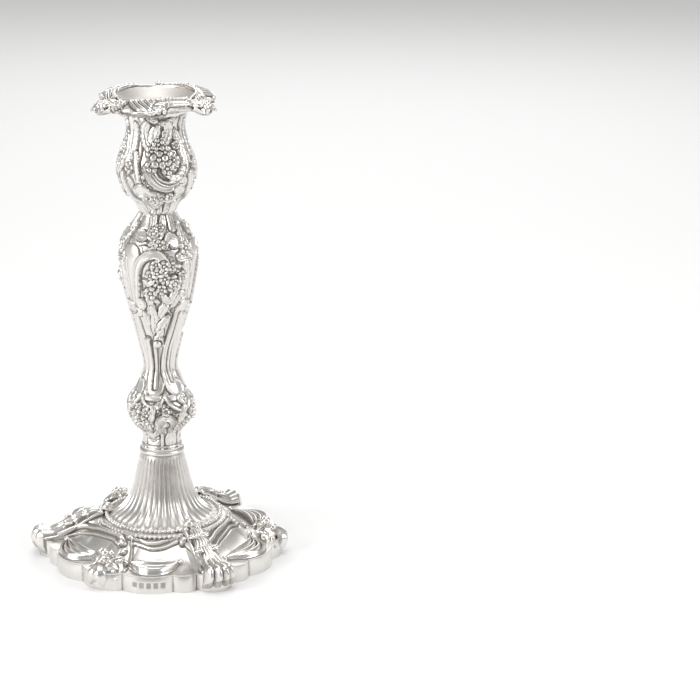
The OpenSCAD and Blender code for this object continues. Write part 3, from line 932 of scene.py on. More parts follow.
@dataclass
class Knop(Stage):
    """Round knop at the foot of the stem."""

    node: str = "knop_shell"
    name: str = "knop"
    stations: Points = field(default_factory=lambda: [
        (10.8, 0), (13.572, 0.14), (16.356, 0.34), (17.4, 0.55), (16.53, 0.78), (13.2, 1),
    ])

    def relief(self, field_: Relief) -> None:
        """Lays the knop's ornament."""
        f = Form
        field_.lay_all([
            *spray(21, 40, (-60, 60), 74, 89, 16.5),
            Band([(-60, 71), (-60, 77)], 5.0, 1.1, f.LEAF, belly=0.4),
            Band([(-30, 71), (-30, 76)], 5.0, 1.1, f.LEAF, belly=0.4),
            Band([(0, 71), (0, 76)], 5.0, 1.1, f.GADROON, belly=0.4),
            Band([(30, 71), (30, 76)], 5.0, 1.1, f.LEAF, belly=0.4),
            Band([(-60, 92.2), (60, 92.2)], 4.4, 1.0, f.FLAT, level=-0.6),
            Band([(-44, 93), (-34, 90), (-14, 87.6), (4, 90), (12, 93)], 2.0, 1.6, level=-0.5),
            Band([(12, 93), (22, 88.5), (40, 85.2), (58, 85.8), (70, 90), (76, 93)], 2.2, 1.6,
                 level=-0.5),
            Band([(46, 90), (52, 88.6), (60, 89.6)], 2.6, 1.5, level=-0.4,
                 curls=(Curl(1.6, 0.9, -1), None)),
            frond([(-8, 87), (4, 90)], 4.0, 1.4, 2),
            frond([(-24, 76), (-14, 82), (-12, 88)], 4.2, 1.4),
            Band([(2, 81), (14, 82), (26, 79), (31, 73)], 4.0, 1.6, f.SCROLL, curls=(Curl(2.0), None)),
            frond([(38, 78), (46, 83), (52, 87)], 4.4, 1.5),
            Band([(-32, 84), (-22, 87)], 3.0, 1.3, f.LEAF, belly=0.4),
            Flower(-30, 79, 3.0, turn=20),
            Flower(-24, 84.5, 2.4, 5, 1.6),
            Flower(-18, 77.5, 2.2, 5, 1.5, turn=40),
            Flower(12, 85, 2.4, 5, 1.5),
            Flower(-42, 87, 2.2, 5, 1.5),
            Flower(-53, 78, 2.8),
            Flower(-44, 81, 4.4, 5, 2.0, rings=2),
            Flower(42, 75, 2.6, 5, 1.5),
        ])


# ---- Base ----


@dataclass
class BasePlan:
    """Plan and top of the base, worked out as the frame's are.

    Angles are front angles; corner is the angle of the first corner. An arc is the angle that it
    starts at, past the corner, and the reach of its middle.
    """

    corner: float = 30.0
    reach_mm: float = 62.0
    crease: float = 2.4
    foot: float = 33.0
    foot_z: float = 21.0
    skirt_z: float = 9.5
    ridge_z: float = 23.5
    arcs: tuple[tuple[float, float], ...] = (
        (-10, 67.5), (10, 62), (22, 62.4), (48, 63.8), (72, 62.4), (98, 62), (110, 67.5),
    )

    def local(self, angle: Array) -> Array:
        """Angle past the last corner's first crease, starting at -10."""
        return (np.asarray(angle, float) - self.corner + 10) % PERIOD - 10

    def reach(self, angle: Array) -> Array:
        """Reach of the skirt: arcs that meet in creases."""
        a = self.local(angle)
        starts, middles = np.array(self.arcs).T
        i = np.clip(np.searchsorted(starts, a + 1e-6, side="right") - 1, 0, len(starts) - 2)
        part = (a - starts[i]) / (starts[i + 1] - starts[i])
        low = self.reach_mm - self.crease
        return low + (middles[i] - low) * np.clip(np.sin(np.pi * part), 0, 1) ** 0.72

    def top(self, radius: Array, angle: Array) -> Array:
        """Height of the top: scooped panels that rise to a ridge along each corner."""
        a = self.local(angle)
        off = np.where(a > PERIOD / 2, PERIOD - a, a)
        t = np.clip((radius - self.foot) / (self.reach(angle) - self.foot), 0, 1)
        panel = self.skirt_z + (self.foot_z - self.skirt_z) * (1 - t) ** 2.3
        panel = panel - 0.5 * np.sin(np.pi * t) ** 2
        bend = np.clip(np.cos(np.pi / 2 * t), 0, 1)
        ridge = self.skirt_z + (self.ridge_z - self.skirt_z) * bend**1.6
        return panel + (ridge - panel) * np.exp(-((radius * np.sin(np.radians(off)) / 6.5) ** 2))


PLAN = BasePlan()


def normals(grid: Array, wrap: bool) -> Array:
    """Unit normals of a grid whose rows go up and columns counterclockwise."""
    if wrap:
        wide = np.concatenate([grid[:, -1:], grid, grid[:, :1]], axis=1)
        across = (wide[:, 2:] - wide[:, :-2]) / 2
    else:
        across = np.gradient(grid, axis=1)
    n = np.cross(across, np.gradient(grid, axis=0))
    return n / np.linalg.norm(n, axis=-1, keepdims=True)


class Disc:
    """Outline that runs straight out from the axis, for relief laid by angle and radius."""

    def __init__(self, inner: float, outer: float, step: float) -> None:
        """Takes the two radii and the distance between samples."""
        self.r = np.linspace(inner, outer, round((outer - inner) / step / THIN) * THIN + 1)
        self.s = self.r - inner
        self.z = self.r

    def at(self, z: float) -> float:
        """Length run at a radius."""
        return z - self.r[0]


@dataclass
class BasePlate:
    """Scooped top of the base, with mouldings along its inner edge and its ridges."""

    step: float = 0.36
    wall: float = 0.8
    nominal: float = 62.0

    def mouldings(self) -> list[Band | Flower]:
        """The mouldings of one repeat, by angle and radius: two unlike panels that meet at a crease."""
        ridge = [(-85.6, 60), (-85, 52), (-84.2, 46), (-81, 41.4), (-74, 38)]
        rods = (
            ([*ridge, (-62, 35.4), (-45, 34.6), (-35, 35.4), (-29, 38)], 2.3, 1.7),
            ([(-82.6, 60), (-82, 52), (-80.6, 47), (-77, 43), (-70, 40.2), (-60, 38.2), (-46, 37.2),
              (-36, 38.4)], 1.4, 0.8),
            ([(-28, 34.6), (-18, 35), (-10, 36.4), (-2, 36.2), (8, 34.6), (16, 34), (21, 34.6)],
             1.7, 1.3),
            ([(-24, 37), (-14, 37.8), (-5, 38.9), (4, 38.2), (12, 36.6), (18, 36.4)], 1.4, 0.8),
            ([(19.5, 37.8), (22.6, 41.5), (24.4, 46), (25, 52), (25.6, 60)], 2.1, 1.6),
            ([(-25, 35), (-21.5, 40), (-19, 46), (-18, 53), (-18, 60)], 0.9, 0.7),
        )
        long_row = [(-76 + 4.4 * i, 33.9 - 0.25 * min(i, 4), 1.0, 1.5, 0.0) for i in range(10)]
        short_row = [(-22 + 4.4 * i, 33.6, 0.95, 1.4, 0.0) for i in range(9)]
        knots = [(-32.5, 38.2, 1.9, 1.9, 0.2), (-26.5, 42.5, 1.6, 1.7, 0.2), (19.6, 37.6, 2.1, 2.0, 0.2)]
        return [
            *[Band(path, width, rise, level=0.0) for path, width, rise in rods],
            *[Flower(angle, radius, size, 3, rise, level, heart=0.9)
              for angle, radius, size, rise, level in (*long_row, *short_row, *knots)],
        ]

    def build(self) -> None:
        """Makes the plate and sets it in place of its node."""
        step = spacing(self.step)
        field_ = Relief(Disc(PLAN.foot, self.nominal, step), step, 0.0)
        field_.lay_all(self.mouldings())
        h = np.tile(field_.h, (1, REPEATS))
        oxide = cavity(h, step) * 1.1
        angle = every_repeat(field_.angle)
        share = (field_.line.r[:, None] - PLAN.foot) / (self.nominal - PLAN.foot)
        radius = PLAN.foot + (PLAN.reach(angle) - PLAN.foot) * share
        grid = polar(radius, angle, PLAN.top(radius, angle))[::-1]
        h, oxide = h[::-1], oxide[::-1]
        outer = grid + h[..., None] * normals(grid, True)
        below = grid - np.array([0, 0, self.wall])
        made = piece("base_top", closed_ring(outer, below, oxide), PLAIN)
        settle(made, "candlestick", "polished_silver", "base_plate")


def closed_ring(outer: Array, inner: Array, oxide: Array) -> Solid:
    """Closed sheet that runs all the way round, between an outer grid and an inner one.

    Args:
        outer: Points, rows going up and columns counterclockwise, the last not a repeat of the first.
        inner: Points on the same grid, of which every THIN-th row is kept.
        oxide: Oxide at each outer point.

    Returns:
        The sheet, closed at its foot and its top.
    """
    m, n = outer.shape[:2]
    inner = inner[::THIN]
    p = len(inner)
    faces = [grid_faces(m, n, True), grid_faces(p, n, True, m * n)[:, ::-1]]
    j = np.arange(n)
    k = (j + 1) % n
    foot, low = 0, m * n
    faces.append(np.stack([low + j, low + k, foot + k, foot + j], axis=1))
    top, high = (m - 1) * n, m * n + (p - 1) * n
    faces.append(np.stack([top + j, top + k, high + k, high + j], axis=1))
    points = np.vstack([outer.reshape(-1, 3), inner.reshape(-1, 3)])
    return Solid(points, np.vstack(faces), np.concatenate([oxide.ravel(), np.full(p * n, INSIDE)]))


@dataclass
class BaseSkirt:
    """Upright skirt of the base: bulging lengths that meet in creases."""

    step: float = 0.4
    wall: float = 1.2
    rows: int = 25
    punches: int = 5
    first_punch: float = -13.5
    punch_gap: float = 4.3
    punch_z: float = 4.6

    def build(self) -> None:
        """Makes the skirt and sets it in place of its node."""
        low, high = heights("base_skirt")
        cols = round(2 * math.pi * PLAN.reach_mm / self.step / THIN) * THIN
        angle = np.arange(cols) * 360 / cols
        z = np.linspace(low, high + 0.8, self.rows)
        part = (z - low) / (high - low)
        profile = 0.5 - 2.4 * np.clip(part - 0.42, 0, 1) ** 2 - 1.6 * np.clip(0.3 - part, 0, 1) ** 2
        reach = PLAN.reach(angle)
        crease = np.clip((reach - (PLAN.reach_mm - PLAN.crease)) / PLAN.crease, 0, 1)
        radius = reach[None, :] + profile[:, None] * (0.2 + 0.8 * crease[None, :])
        oxide = np.tile(0.7 * (1 - ease(crease / 0.35))[None, :], (len(z), 1))
        h = self._punched(angle, z)
        oxide = np.clip(oxide + np.clip(-h * 2.5, 0, 0.8), 0, 1)
        outer = polar(radius + h, angle[None, :], z[:, None])
        inner = polar(radius - self.wall, angle[None, :], z[:, None])
        made = piece("base_skirt_wall", closed_ring(outer, inner, oxide), PLAIN)
        settle(made, "candlestick", "polished_silver", "base_skirt")

    def _punched(self, angle: Array, z: Array) -> Array:
        """Depth of the blank punch marks on the skirt's front."""
        arc = math.radians(1) * PLAN.reach_mm
        turn = ((angle + 180) % 360 - 180)[None, :] * arc
        h = np.zeros((len(z), len(angle)))
        for k in range(self.punches):
            du = turn - (self.first_punch + self.punch_gap * k) * arc / 1.25
            dv = z[:, None] - self.punch_z
            inside = 1 - np.maximum(np.abs(du) / 1.45, np.abs(dv) / 1.65)
            h -= 0.4 * ease(inside / 0.25) * (0.7 + 0.3 * np.cos(du * 5) * np.cos(dv * 4))
        return h


# ---- Swept and rounded solids ----


def ball(centre: Place, radius: float, rings: int = 16) -> Solid:
    """Closed bright sphere."""
    cols = 2 * rings
    t = np.linspace(-math.pi / 2, math.pi / 2, rings + 1)[1:-1, None]
    grid = polar(radius * np.cos(t), np.arange(cols)[None, :] * 360 / cols, radius * np.sin(t))
    poles = [[0, 0, -radius], [0, 0, radius]]
    points = np.vstack([grid.reshape(-1, 3), poles]) + np.array(centre)
    n = rings - 1
    j = np.arange(cols)
    k = (j + 1) % cols
    foot, top = np.full(cols, n * cols), np.full(cols, n * cols + 1)
    last = (n - 1) * cols
    faces = np.vstack([
        grid_faces(n, cols, True),
        np.stack([k, j, foot, foot], axis=1),
        np.stack([last + j, last + k, top, top], axis=1),
    ])
    return Solid(points, faces, np.zeros(len(points)))


def sweep(path: Array, radii: Array, up: Array, sides: int = 12) -> Solid:
    """Closed rod along a path, with rounded ends and oxide along its underside.

    Args:
        path: Points of its centre line.
        radii: Its radius at each point.
        up: Direction of its top.
        sides: Corners in its cross-section.

    Returns:
        The rod.
    """
    tangent = np.gradient(path, axis=0)
    tangent /= np.linalg.norm(tangent, axis=1, keepdims=True)
    side = np.cross(tangent, np.broadcast_to(up, path.shape))
    side /= np.linalg.norm(side, axis=1, keepdims=True)
    top = np.cross(side, tangent)
    start = [path[0] - tangent[0] * radii[0] * c for c in (1.0, 0.87, 0.5)]
    end = [path[-1] + tangent[-1] * radii[-1] * c for c in (0.5, 0.87, 1.0)]
    centres = np.vstack([start, path, end])
    cap = np.array([0.05, 0.5, 0.87])
    size = np.concatenate([radii[0] * cap, radii, radii[-1] * cap[::-1]])
    pad = [0, 0, 0, *range(len(path)), -1, -1, -1]
    t = np.arange(sides) * 2 * math.pi / sides
    across, along = side[pad][:, None, :], top[pad][:, None, :]
    ring = np.cos(t)[None, :, None] * across + np.sin(t)[None, :, None] * along
    grid = centres[:, None, :] + ring * size[:, None, None]
    m = len(centres)
    points = np.vstack([grid.reshape(-1, 3), centres[:1], centres[-1:]])
    j = np.arange(sides)
    k = (j + 1) % sides
    foot, far = np.full(sides, m * sides), np.full(sides, m * sides + 1)
    last = (m - 1) * sides
    faces = np.vstack([
        grid_faces(m, sides, True)[:, ::-1],
        np.stack([j, k, foot, foot], axis=1),
        np.stack([last + k, last + j, far, far], axis=1),
    ])
    low = np.broadcast_to(np.sin(t)[None, :] < -0.2, grid.shape[:2]).ravel()
    return Solid(points, faces, np.concatenate([np.where(low, 0.8, 0.0), [0, 0]]))


def loft(top: Array, oxide: Array, drop: Array) -> Solid:
    """Closed slab under a grid of points, thick by drop, straight down.

    Args:
        top: Points, rows and columns counterclockwise seen from above.
        oxide: Oxide at each point.
        drop: Vector from a top point to the bottom one.

    Returns:
        The slab.
    """
    m, n = top.shape[:2]
    low = top + drop
    points = np.vstack([top.reshape(-1, 3), low.reshape(-1, 3)])
    a = np.arange(m * n).reshape(m, n)
    rim = np.concatenate([a[0, :-1], a[:-1, -1], a[-1, :0:-1], a[:0:-1, 0]])
    after = np.roll(rim, -1)
    faces = np.vstack([
        grid_faces(m, n), grid_faces(m, n, start=m * n)[:, ::-1],
        np.stack([rim + m * n, after + m * n, after, rim], axis=1),
    ])
    return Solid(points, faces, np.concatenate([oxide.ravel(), np.full(m * n, 0.5)]))


@dataclass
class Crescents:
    """Struck bands of ridges that bow outward between two balls, over the long sides of the skirt."""

    sides: tuple[tuple[float, float, float, float], ...] = (
        (12.5, 51.5, 52.0, 46.5), (71.0, 103.0, 49.5, 48.0),
    )
    ridges: int = 4
    near: float = 48.5
    far: float = 61.2

    def build(self) -> None:
        """Makes the six bands and sets them in place of their nodes."""
        for k in range(2 * REPEATS):
            band = self._band(PLAN.corner + PERIOD + k // 2 * PERIOD, *self.sides[k % 2])
            made = piece(f"crescent_{k + 1}", band, CAST)
            settle(made, "candlestick", "polished_silver", f"crescent_moulding_{k + 1}")

    def _band(self, corner: float, start: float, end: float, first: float, last: float) -> Solid:
        """One band, between two angles past a corner and the radii of its two ends."""
        t = np.linspace(0, 1, 64)[None, :]
        v = np.linspace(0, 1, 8 * self.ridges + 1)[:, None]
        bow = np.sin(np.pi * t) ** 0.9
        angle = corner + start + (end - start) * t
        chord = first + (last - first) * t
        inner = chord + (self.near - chord) * bow
        outer = chord + (self.far - chord) * bow + 0.8
        radius = inner + (outer - inner) * v
        rib = np.abs(np.sin(np.pi * self.ridges * v))
        swell = 0.25 + 0.75 * np.sin(np.pi * t) ** 0.5
        step = ease((1 - v) / 0.12)
        height = (0.3 + 2.5 * rib**0.8 + 0.8 * np.exp(-((v / 0.14) ** 2))) * swell * step + 0.25
        under = PLAN.top(np.minimum(radius, PLAN.reach(angle)), angle)
        top = polar(radius, angle, under + height)[::-1]
        oxide = np.clip(1.0 - rib / 0.55, 0, 1) * np.ones_like(t)
        parts = [loft(top, oxide[::-1], np.array([0, 0, -1.6]))]
        for place, r in ((start - 1.2, first + 0.4), (end + 1.2, last + 0.4)):
            at = polar(r, corner + place, PLAN.top(r, corner + place) + 0.8)
            parts.append(ball(at, 1.6))
        return Solid.join(parts)


class CornerMounts:
    """Cast ridge mounts: a pearl, stacked leaves and scrolls, and a drooping shell at the tip."""

    def build(self) -> None:
        """Makes the three mounts and sets them in place of their nodes."""
        ties = ("candlestick", "cast_silver", "corner_mount")
        settle_repeats("corner_ornament", self._mount(), PLAN.corner, CAST, ties)

    @staticmethod
    def _crest(y: Array | float) -> Array:
        """Height of the ridge at a radius."""
        return PLAN.top(np.asarray(y, float), PLAN.corner)

    def _fan(self, start: float, end: float, half: float, lift: float, ribs: int, curl: float) -> Solid:
        """Ribbed lobed leaf that lies over the ridge and curls down at its end.

        Args:
            start: Radius where it springs.
            end: Radius of its tip.
            half: Half its width at the tip.
            lift: Height over the ridge.
            ribs: Number of ribs.
            curl: How far the tip drops.

        Returns:
            The leaf, at the front angle 0.
        """
        t = np.linspace(0, 1, 44)[:, None]
        v = np.linspace(-1, 1, 16 * ribs + 1)[None, :]
        rib = np.abs(np.sin(np.pi * ribs * (v + 1) / 2))
        width = half * (0.35 + 0.65 * np.sin(np.pi / 2 * t) ** 0.8)
        out = np.sin(np.pi / 2 * np.clip(t / 0.86, 0, 1)) - 0.1 * ease((t - 0.82) / 0.18)
        scallop = 0.16 * (rib - 0.6) * ease((t - 0.5) / 0.4)
        y = start + (end - start) * (out * (1 - 0.26 * v * v) + scallop)
        z = self._crest(np.minimum(start + (end - start) * out, 61.5))
        z = z + lift * (0.35 + 0.65 * np.sin(np.pi * t) ** 0.7)
        z = z - curl * ease((t - 0.5) / 0.5) ** 1.4 - 0.28 * lift * np.abs(v) ** 2.2 * (1 + t)
        z = z + 1.1 * half / ribs * rib**0.55 * (0.4 + 0.6 * t) - 0.7 * np.abs(v) ** 3
        top = np.stack(np.broadcast_arrays(v * width, -y, z), axis=-1)[::-1]
        oxide = np.clip(0.85 - rib / 0.45, 0, 1) * np.ones_like(t)
        return loft(top, oxide[::-1], np.array([0, 0.8, -2.6]))

    def _mount(self) -> Solid:
        """The mount at the front angle 0, to be turned to its corner."""
        up = np.array([0, 0, 1])
        parts = [
            self._bed(),
            self._fan(50.0, 71.0, 9.2, 1.7, 4, 8.4),
            self._fan(45.0, 57.5, 5.8, 1.9, 5, 1.4),
            self._fan(39.0, 49.5, 5.0, 2.0, 5, 1.2),
            self._fan(33.2, 43.0, 4.0, 2.0, 5, 1.0),
        ]
        t = np.linspace(0, 1, 30)
        for side in (-1, 1):
            along, away = 33 + 30 * t, side * (4.2 + 4.4 * t**1.4)
            angle = PLAN.corner + np.degrees(np.arctan2(away, along))
            edge = np.stack([away, -along, PLAN.top(np.hypot(along, away), angle) + 1.1], axis=1)
            parts.append(sweep(edge, 1.2 - 0.3 * t, up))
            for middle, size, thick in ((41.5, 2.2, 1.0), (50.5, 2.6, 1.05)):
                spin = side * (t * 4.4 - 0.4)
                ring = size * (1 - 0.55 * t)
                away = side * (3.4 + 0.12 * (middle - 40))
                path = np.stack([away + ring * np.sin(spin), -(middle + ring * np.cos(spin)),
                                 self._crest(middle) + 0.9 + 0 * t], axis=1)
                parts.append(sweep(path, thick * (1 - 0.45 * t), up))
        pearl_z = 25.4
        parts.append(ball((0, -30.4, pearl_z), 3.0, 24))
        parts += [ball((x, -33.6, pearl_z - 1.2), 1.3) for x in (-3.4, 3.4)]
        return grounded(Solid.join(parts))

    @staticmethod
    def _bed() -> Solid:
        """Ground under the mount's ornament."""
        t = np.linspace(0, 1, 40)[:, None]
        v = np.linspace(-1, 1, 17)[None, :]
        y = 33 + 29 * t
        width = 2.6 + 4.4 * t
        radius = np.hypot(y, v * width)
        angle = PLAN.corner + np.degrees(np.arctan2(v * width, y))
        swell = np.sin(np.pi * np.clip(t, 0.05, 0.95))
        z = PLAN.top(radius, angle) + 0.4 + 1.2 * (1 - np.abs(v) ** 2.5) * swell
        top = np.stack(np.broadcast_arrays(v * width, -y, z), axis=-1)[::-1]
        return loft(top, np.full(top.shape[:2], 0.9), np.array([0, 0, -1.2]))


def petal(length: float, width: float, arch: float, sag: float, dish: float, thick: float = 0.7,
          vein: float = 0.15) -> Solid:
    """Closed petal that points along -Y from the origin, its face up.

    Args:
        length: Length of the petal.
        width: Widest width.
        arch: Height of its middle over its ends.
        sag: How far its tip drops.
        dish: How far its edges rise over its middle line.
        thick: Thickness.
        vein: Depth of the veins.

    Returns:
        The petal.
    """
    t = np.linspace(0, 1, 20)[:, None]
    v = np.linspace(-1, 1, 15)[None, :]
    swell = 0.28 + 0.72 * np.sin(np.pi * np.clip(t * 0.78 + 0.06, 0, 1)) ** 0.8
    half = width / 2 * swell * np.sqrt(np.clip(1.02 - t**6, 0, 1))
    y = length * t - 0.12 * width * v * v * t
    z = arch * np.sin(np.pi * t) - sag * t**2 + dish * v * v - vein * np.cos(3 * np.pi * v) * t
    top = np.stack(np.broadcast_arrays(v * half, -y, z), axis=-1)[::-1]
    oxide = np.clip(0.9 - 3.2 * t, 0, 1) * np.ones_like(v) + 0.5 * (np.abs(v) > 0.95)
    return loft(top, np.clip(oxide[::-1], 0, 1), np.array([0, 0, -thick]))


def grounded(solid: Solid, soft: float = 2.7, low: float = 0.3) -> Solid:
    """Copy whose lowest parts are eased up, so that none reaches the surface that it stands on."""
    points = solid.points.copy()
    start = low + soft
    z = points[:, 2]
    points[:, 2] = np.where(z < start, low + soft * np.exp((z - start) / soft), z)
    return Solid(points, solid.faces, solid.oxide)


def leaf(length: float, width: float, teeth: int = 4, arch: float = 0.8, sag: float = 0.6) -> Solid:
    """Closed toothed leaf that points along -Y from the origin."""
    t = np.linspace(0, 1, 48)[:, None]
    v = np.linspace(-1, 1, 13)[None, :]
    tooth = 1 - 0.3 * ((t * teeth) % 1)
    half = width / 2 * np.sin(np.pi * np.clip(t * 0.88 + 0.08, 0, 1)) ** 0.7 * tooth
    y = length * (t - 0.1 * np.abs(v) * (1 - t))
    z = arch * np.sin(np.pi * t) - sag * t**2 - 0.35 * np.exp(-((v / 0.18) ** 2)) - 0.25 * v * v
    z = z + 0.16 * np.cos(2 * np.pi * (t * teeth * 1.6 + np.abs(v))) * np.abs(v)
    top = np.stack(np.broadcast_arrays(v * half, -y, z), axis=-1)[::-1]
    oxide = np.clip(0.9 * np.exp(-((v / 0.22) ** 2)), 0, 1) * np.ones_like(t)
    return loft(top, oxide[::-1], np.array([0, 0, -0.6]))


@dataclass
class FlowerMounts:
    """Cast flowers that lie over the edge of the base, two petals up and two hanging down."""

    axis: float = -30.0
    radius: float = 57.6
    z: float = 12.2
    lean: float = 42.0

    def build(self) -> None:
        """Makes the three flowers and sets them in place of their nodes."""
        ties = ("candlestick", "cast_silver", "flower_mount")
        settle_repeats("base_flower", self._flower(), self.axis, CAST, ties)

    def _flower(self) -> Solid:
        """The flower at the front angle 0."""
        parts = []
        for turn, length, width, arch, sag in (
            (-30, 6.6, 5.6, 2.2, 2.6), (30, 6.6, 5.6, 2.2, 2.6),
            (-88, 7.6, 7.2, 2.6, 1.6), (88, 7.6, 7.2, 2.6, 1.6),
        ):
            parts.append(petal(length, width, arch, sag, -1.6, 2.0, 0.22).turned(turn))
        parts.append(petal(5.4, 5.6, 2.4, 0.2, -1.0, 1.4).turned(180))
        for turn, length, width in (
            (-125, 10.0, 5.6), (125, 10.0, 5.6), (-60, 11.0, 4.6), (60, 11.0, 4.6),
        ):
            parts.append(leaf(length, width).turned(turn).placed((0, 0, -0.8)))
        parts += [ball((0, y, z), 2.0) for y, z in ((0, 2.0), (4.4, 2.4))]
        parts += [ball((x, 5.4, 1.7), 1.4) for x in (-2.8, 2.8)]
        face = Solid.join(parts).tipped(self.lean).placed((0, -self.radius, self.z), 1.15)
        low_petal = petal(13.2, 7.4, 3.6, 2.2, -3.0, 2.2, 0.35)
        hung = Solid.join([low_petal.turned(turn) for turn in (-19, 19)])
        return grounded(Solid.join([face, hung.tipped(76).placed((0, -62.9, 14.0))]))


# ---- Column ----


def grown(name: str, source: Solid, tree: bpy.types.NodeTree, inputs: dict[str, float], finish: Finish,
          sharp: float = SHARP) -> bpy.types.Object:
    """Runs a geometry node tree on a surface and keeps the plain mesh that comes out.

    Args:
        name: The piece's name.
        source: The surface that goes in.
        tree: The node tree.
        inputs: The tree's named inputs.
        finish: The piece's finish.
        sharp: Angle in degrees past which an edge shades as sharp.

    Returns:
        The object, at the origin, without a modifier.
    """
    made = piece(name, source, finish)
    modifier = made.modifiers.new("grow", "NODES")
    modifier.node_group = tree
    for item in tree.interface.items_tree:
        if item.in_out == "INPUT" and item.name in inputs:
            modifier[item.identifier] = inputs[item.name]
    graph = bpy.context.evaluated_depsgraph_get()
    mesh = bpy.data.meshes.new_from_object(made.evaluated_get(graph))
    made.modifiers.remove(modifier)
    made.data = mesh
    mesh.shade_smooth()
    mesh.set_sharp_from_angle(angle=math.radians(sharp))
    return made


def new_tree(name: str, inputs: tuple[tuple[str, str, float], ...]) -> tuple[Tree, bpy.types.Node]:
    """Starts a geometry node tree with a geometry input and named inputs.

    Args:
        name: Name of the tree.
        inputs: Name, kind and first value of each input.

    Returns:
        The tree and its input node.
    """
    group = bpy.data.node_groups.new(name, "GeometryNodeTree")
    add_sockets(group, "INPUT", (("Geometry", "Geometry"), *inputs))
    add_sockets(group, "OUTPUT", (("Geometry", "Geometry"),))
    t = Tree(group)
    return t, t.add("NodeGroupInput")


def close_tree(t: Tree, geometry: bpy.types.NodeSocket, finish: Finish) -> bpy.types.NodeTree:
    """Ends a tree in Realize Instances and Set Material."""
    real = t.add("GeometryNodeRealizeInstances", {"Geometry": geometry}).outputs[0]
    painted = t.add("GeometryNodeSetMaterial", {"Geometry": real, "Material": finish.material()})
    t.add("NodeGroupOutput", {"Geometry": painted.outputs[0]})
    return t.tree


def flute_tree() -> bpy.types.NodeTree:
    """Tree that presses flutes into a turned column; each point's oxide says how far up it is."""
    t, given = new_tree("Flutes", (
        ("Flutes", "Int", 30), ("Depth", "Float", 0.0009), ("Ridge", "Float", 0.3),
    ))
    place = t.add("GeometryNodeInputPosition").outputs[0]
    xyz = t.add("ShaderNodeSeparateXYZ", {0: place}).outputs
    turn = t.math("ARCTAN2", xyz["Y"], xyz["X"])
    half_flutes = t.math("MULTIPLY", given.outputs["Flutes"], 0.5)
    wave = t.math("ABSOLUTE", t.math("SINE", t.math("MULTIPLY", turn, half_flutes)))
    up = t.add("GeometryNodeInputNamedAttribute", {"Name": "oxide"}, data_type="FLOAT").outputs[0]
    hollow = t.math("POWER", t.math("MULTIPLY_ADD", wave, 1.15, -0.15), 0.55, 0.0)
    hollow = t.math("MAXIMUM", hollow, 0.0)
    squares = [t.math("MULTIPLY", xyz[axis], xyz[axis]) for axis in "XY"]
    radius = t.math("SQRT", t.math("ADD", *squares))
    round_ = t.math("MULTIPLY", t.math("SUBTRACT", 1.0, wave), 0.045)
    foot = t.math("SUBTRACT", up, round_)
    start = {"Value": foot, "From Min": 0.105, "From Max": 0.125}
    open_ = t.add("ShaderNodeMapRange", start).outputs[0]
    head = t.math("ADD", up, round_)
    end = {"Value": head, "From Min": 0.965, "From Max": 0.94}
    top = t.add("ShaderNodeMapRange", end).outputs[0]
    deep = t.math("MULTIPLY", given.outputs["Depth"], t.math("SQRT", t.math("DIVIDE", radius, 0.0114)))
    amount = t.math("MULTIPLY", t.math("MULTIPLY", hollow, deep), t.math("MULTIPLY", open_, top))
    inward = t.math("DIVIDE", t.math("MULTIPLY", amount, -1.0), radius)
    flat = t.add("ShaderNodeCombineXYZ", {"X": xyz["X"], "Y": xyz["Y"], "Z": 0.0}).outputs[0]
    shift = t.add("ShaderNodeVectorMath", {0: flat, "Scale": inward}, operation="SCALE").outputs[0]
    moved = t.add("GeometryNodeSetPosition", {"Geometry": given.outputs["Geometry"], "Offset": shift})
    stain = t.math("MULTIPLY", hollow, given.outputs["Ridge"])
    store = {"Geometry": moved.outputs[0], "Name": "oxide", "Value": stain}
    stained = t.add("GeometryNodeStoreNamedAttribute", store, data_type="FLOAT", domain="POINT")
    return close_tree(t, stained.outputs[0], PLAIN)


def bead_tree() -> bpy.types.NodeTree:
    """Tree that sets a row of beads on a circle and joins them to what comes in."""
    t, given = new_tree("Beads", (
        ("Beads", "Int", 81), ("Ring radius", "Float", 0.033), ("Height", "Float", 0.0219),
        ("Bead radius", "Float", 0.0012), ("Unevenness", "Float", 0.25), ("Seed", "Int", 4),
    ))
    out = given.outputs
    ring = {"Vertices": out["Beads"], "Radius": out["Ring radius"]}
    circle = t.add("GeometryNodeMeshCircle", ring).outputs[0]
    round_ = {"Segments": 16, "Rings": 10, "Radius": out["Bead radius"]}
    bead = t.add("GeometryNodeMeshUVSphere", round_).outputs["Mesh"]
    low = t.math("SUBTRACT", 1.0, out["Unevenness"])
    high = t.math("ADD", 1.0, out["Unevenness"])
    span = {2: low, 3: high, "Seed": out["Seed"]}
    size = t.add("FunctionNodeRandomValue", span, data_type="FLOAT").outputs[1]
    spread = {"Points": circle, "Instance": bead, "Scale": size}
    row = t.add("GeometryNodeInstanceOnPoints", spread).outputs[0]
    lift = t.add("ShaderNodeCombineXYZ", {"Z": out["Height"]}).outputs[0]
    raised = t.add("GeometryNodeTransform", {"Geometry": row, "Translation": lift}).outputs[0]
    joined = t.add("GeometryNodeJoinGeometry").inputs["Geometry"]
    t.tree.links.new(raised, joined)
    t.tree.links.new(out["Geometry"], joined)
    return close_tree(t, joined.node.outputs[0], CAST)


def lathe(profile: Points, cols: int = 192, oxide: float = 0.0) -> Solid:
    """Closed turned ring from a closed profile of radii and heights, counterclockwise."""
    p = np.array(profile, float)
    grid = polar(p[:, :1], np.arange(cols)[None, :] * 360 / cols, p[:, 1:])
    faces = grid_faces(len(p) + 1, cols, True) % (len(p) * cols)
    return Solid(grid.reshape(-1, 3), faces, np.full(len(p) * cols, oxide))


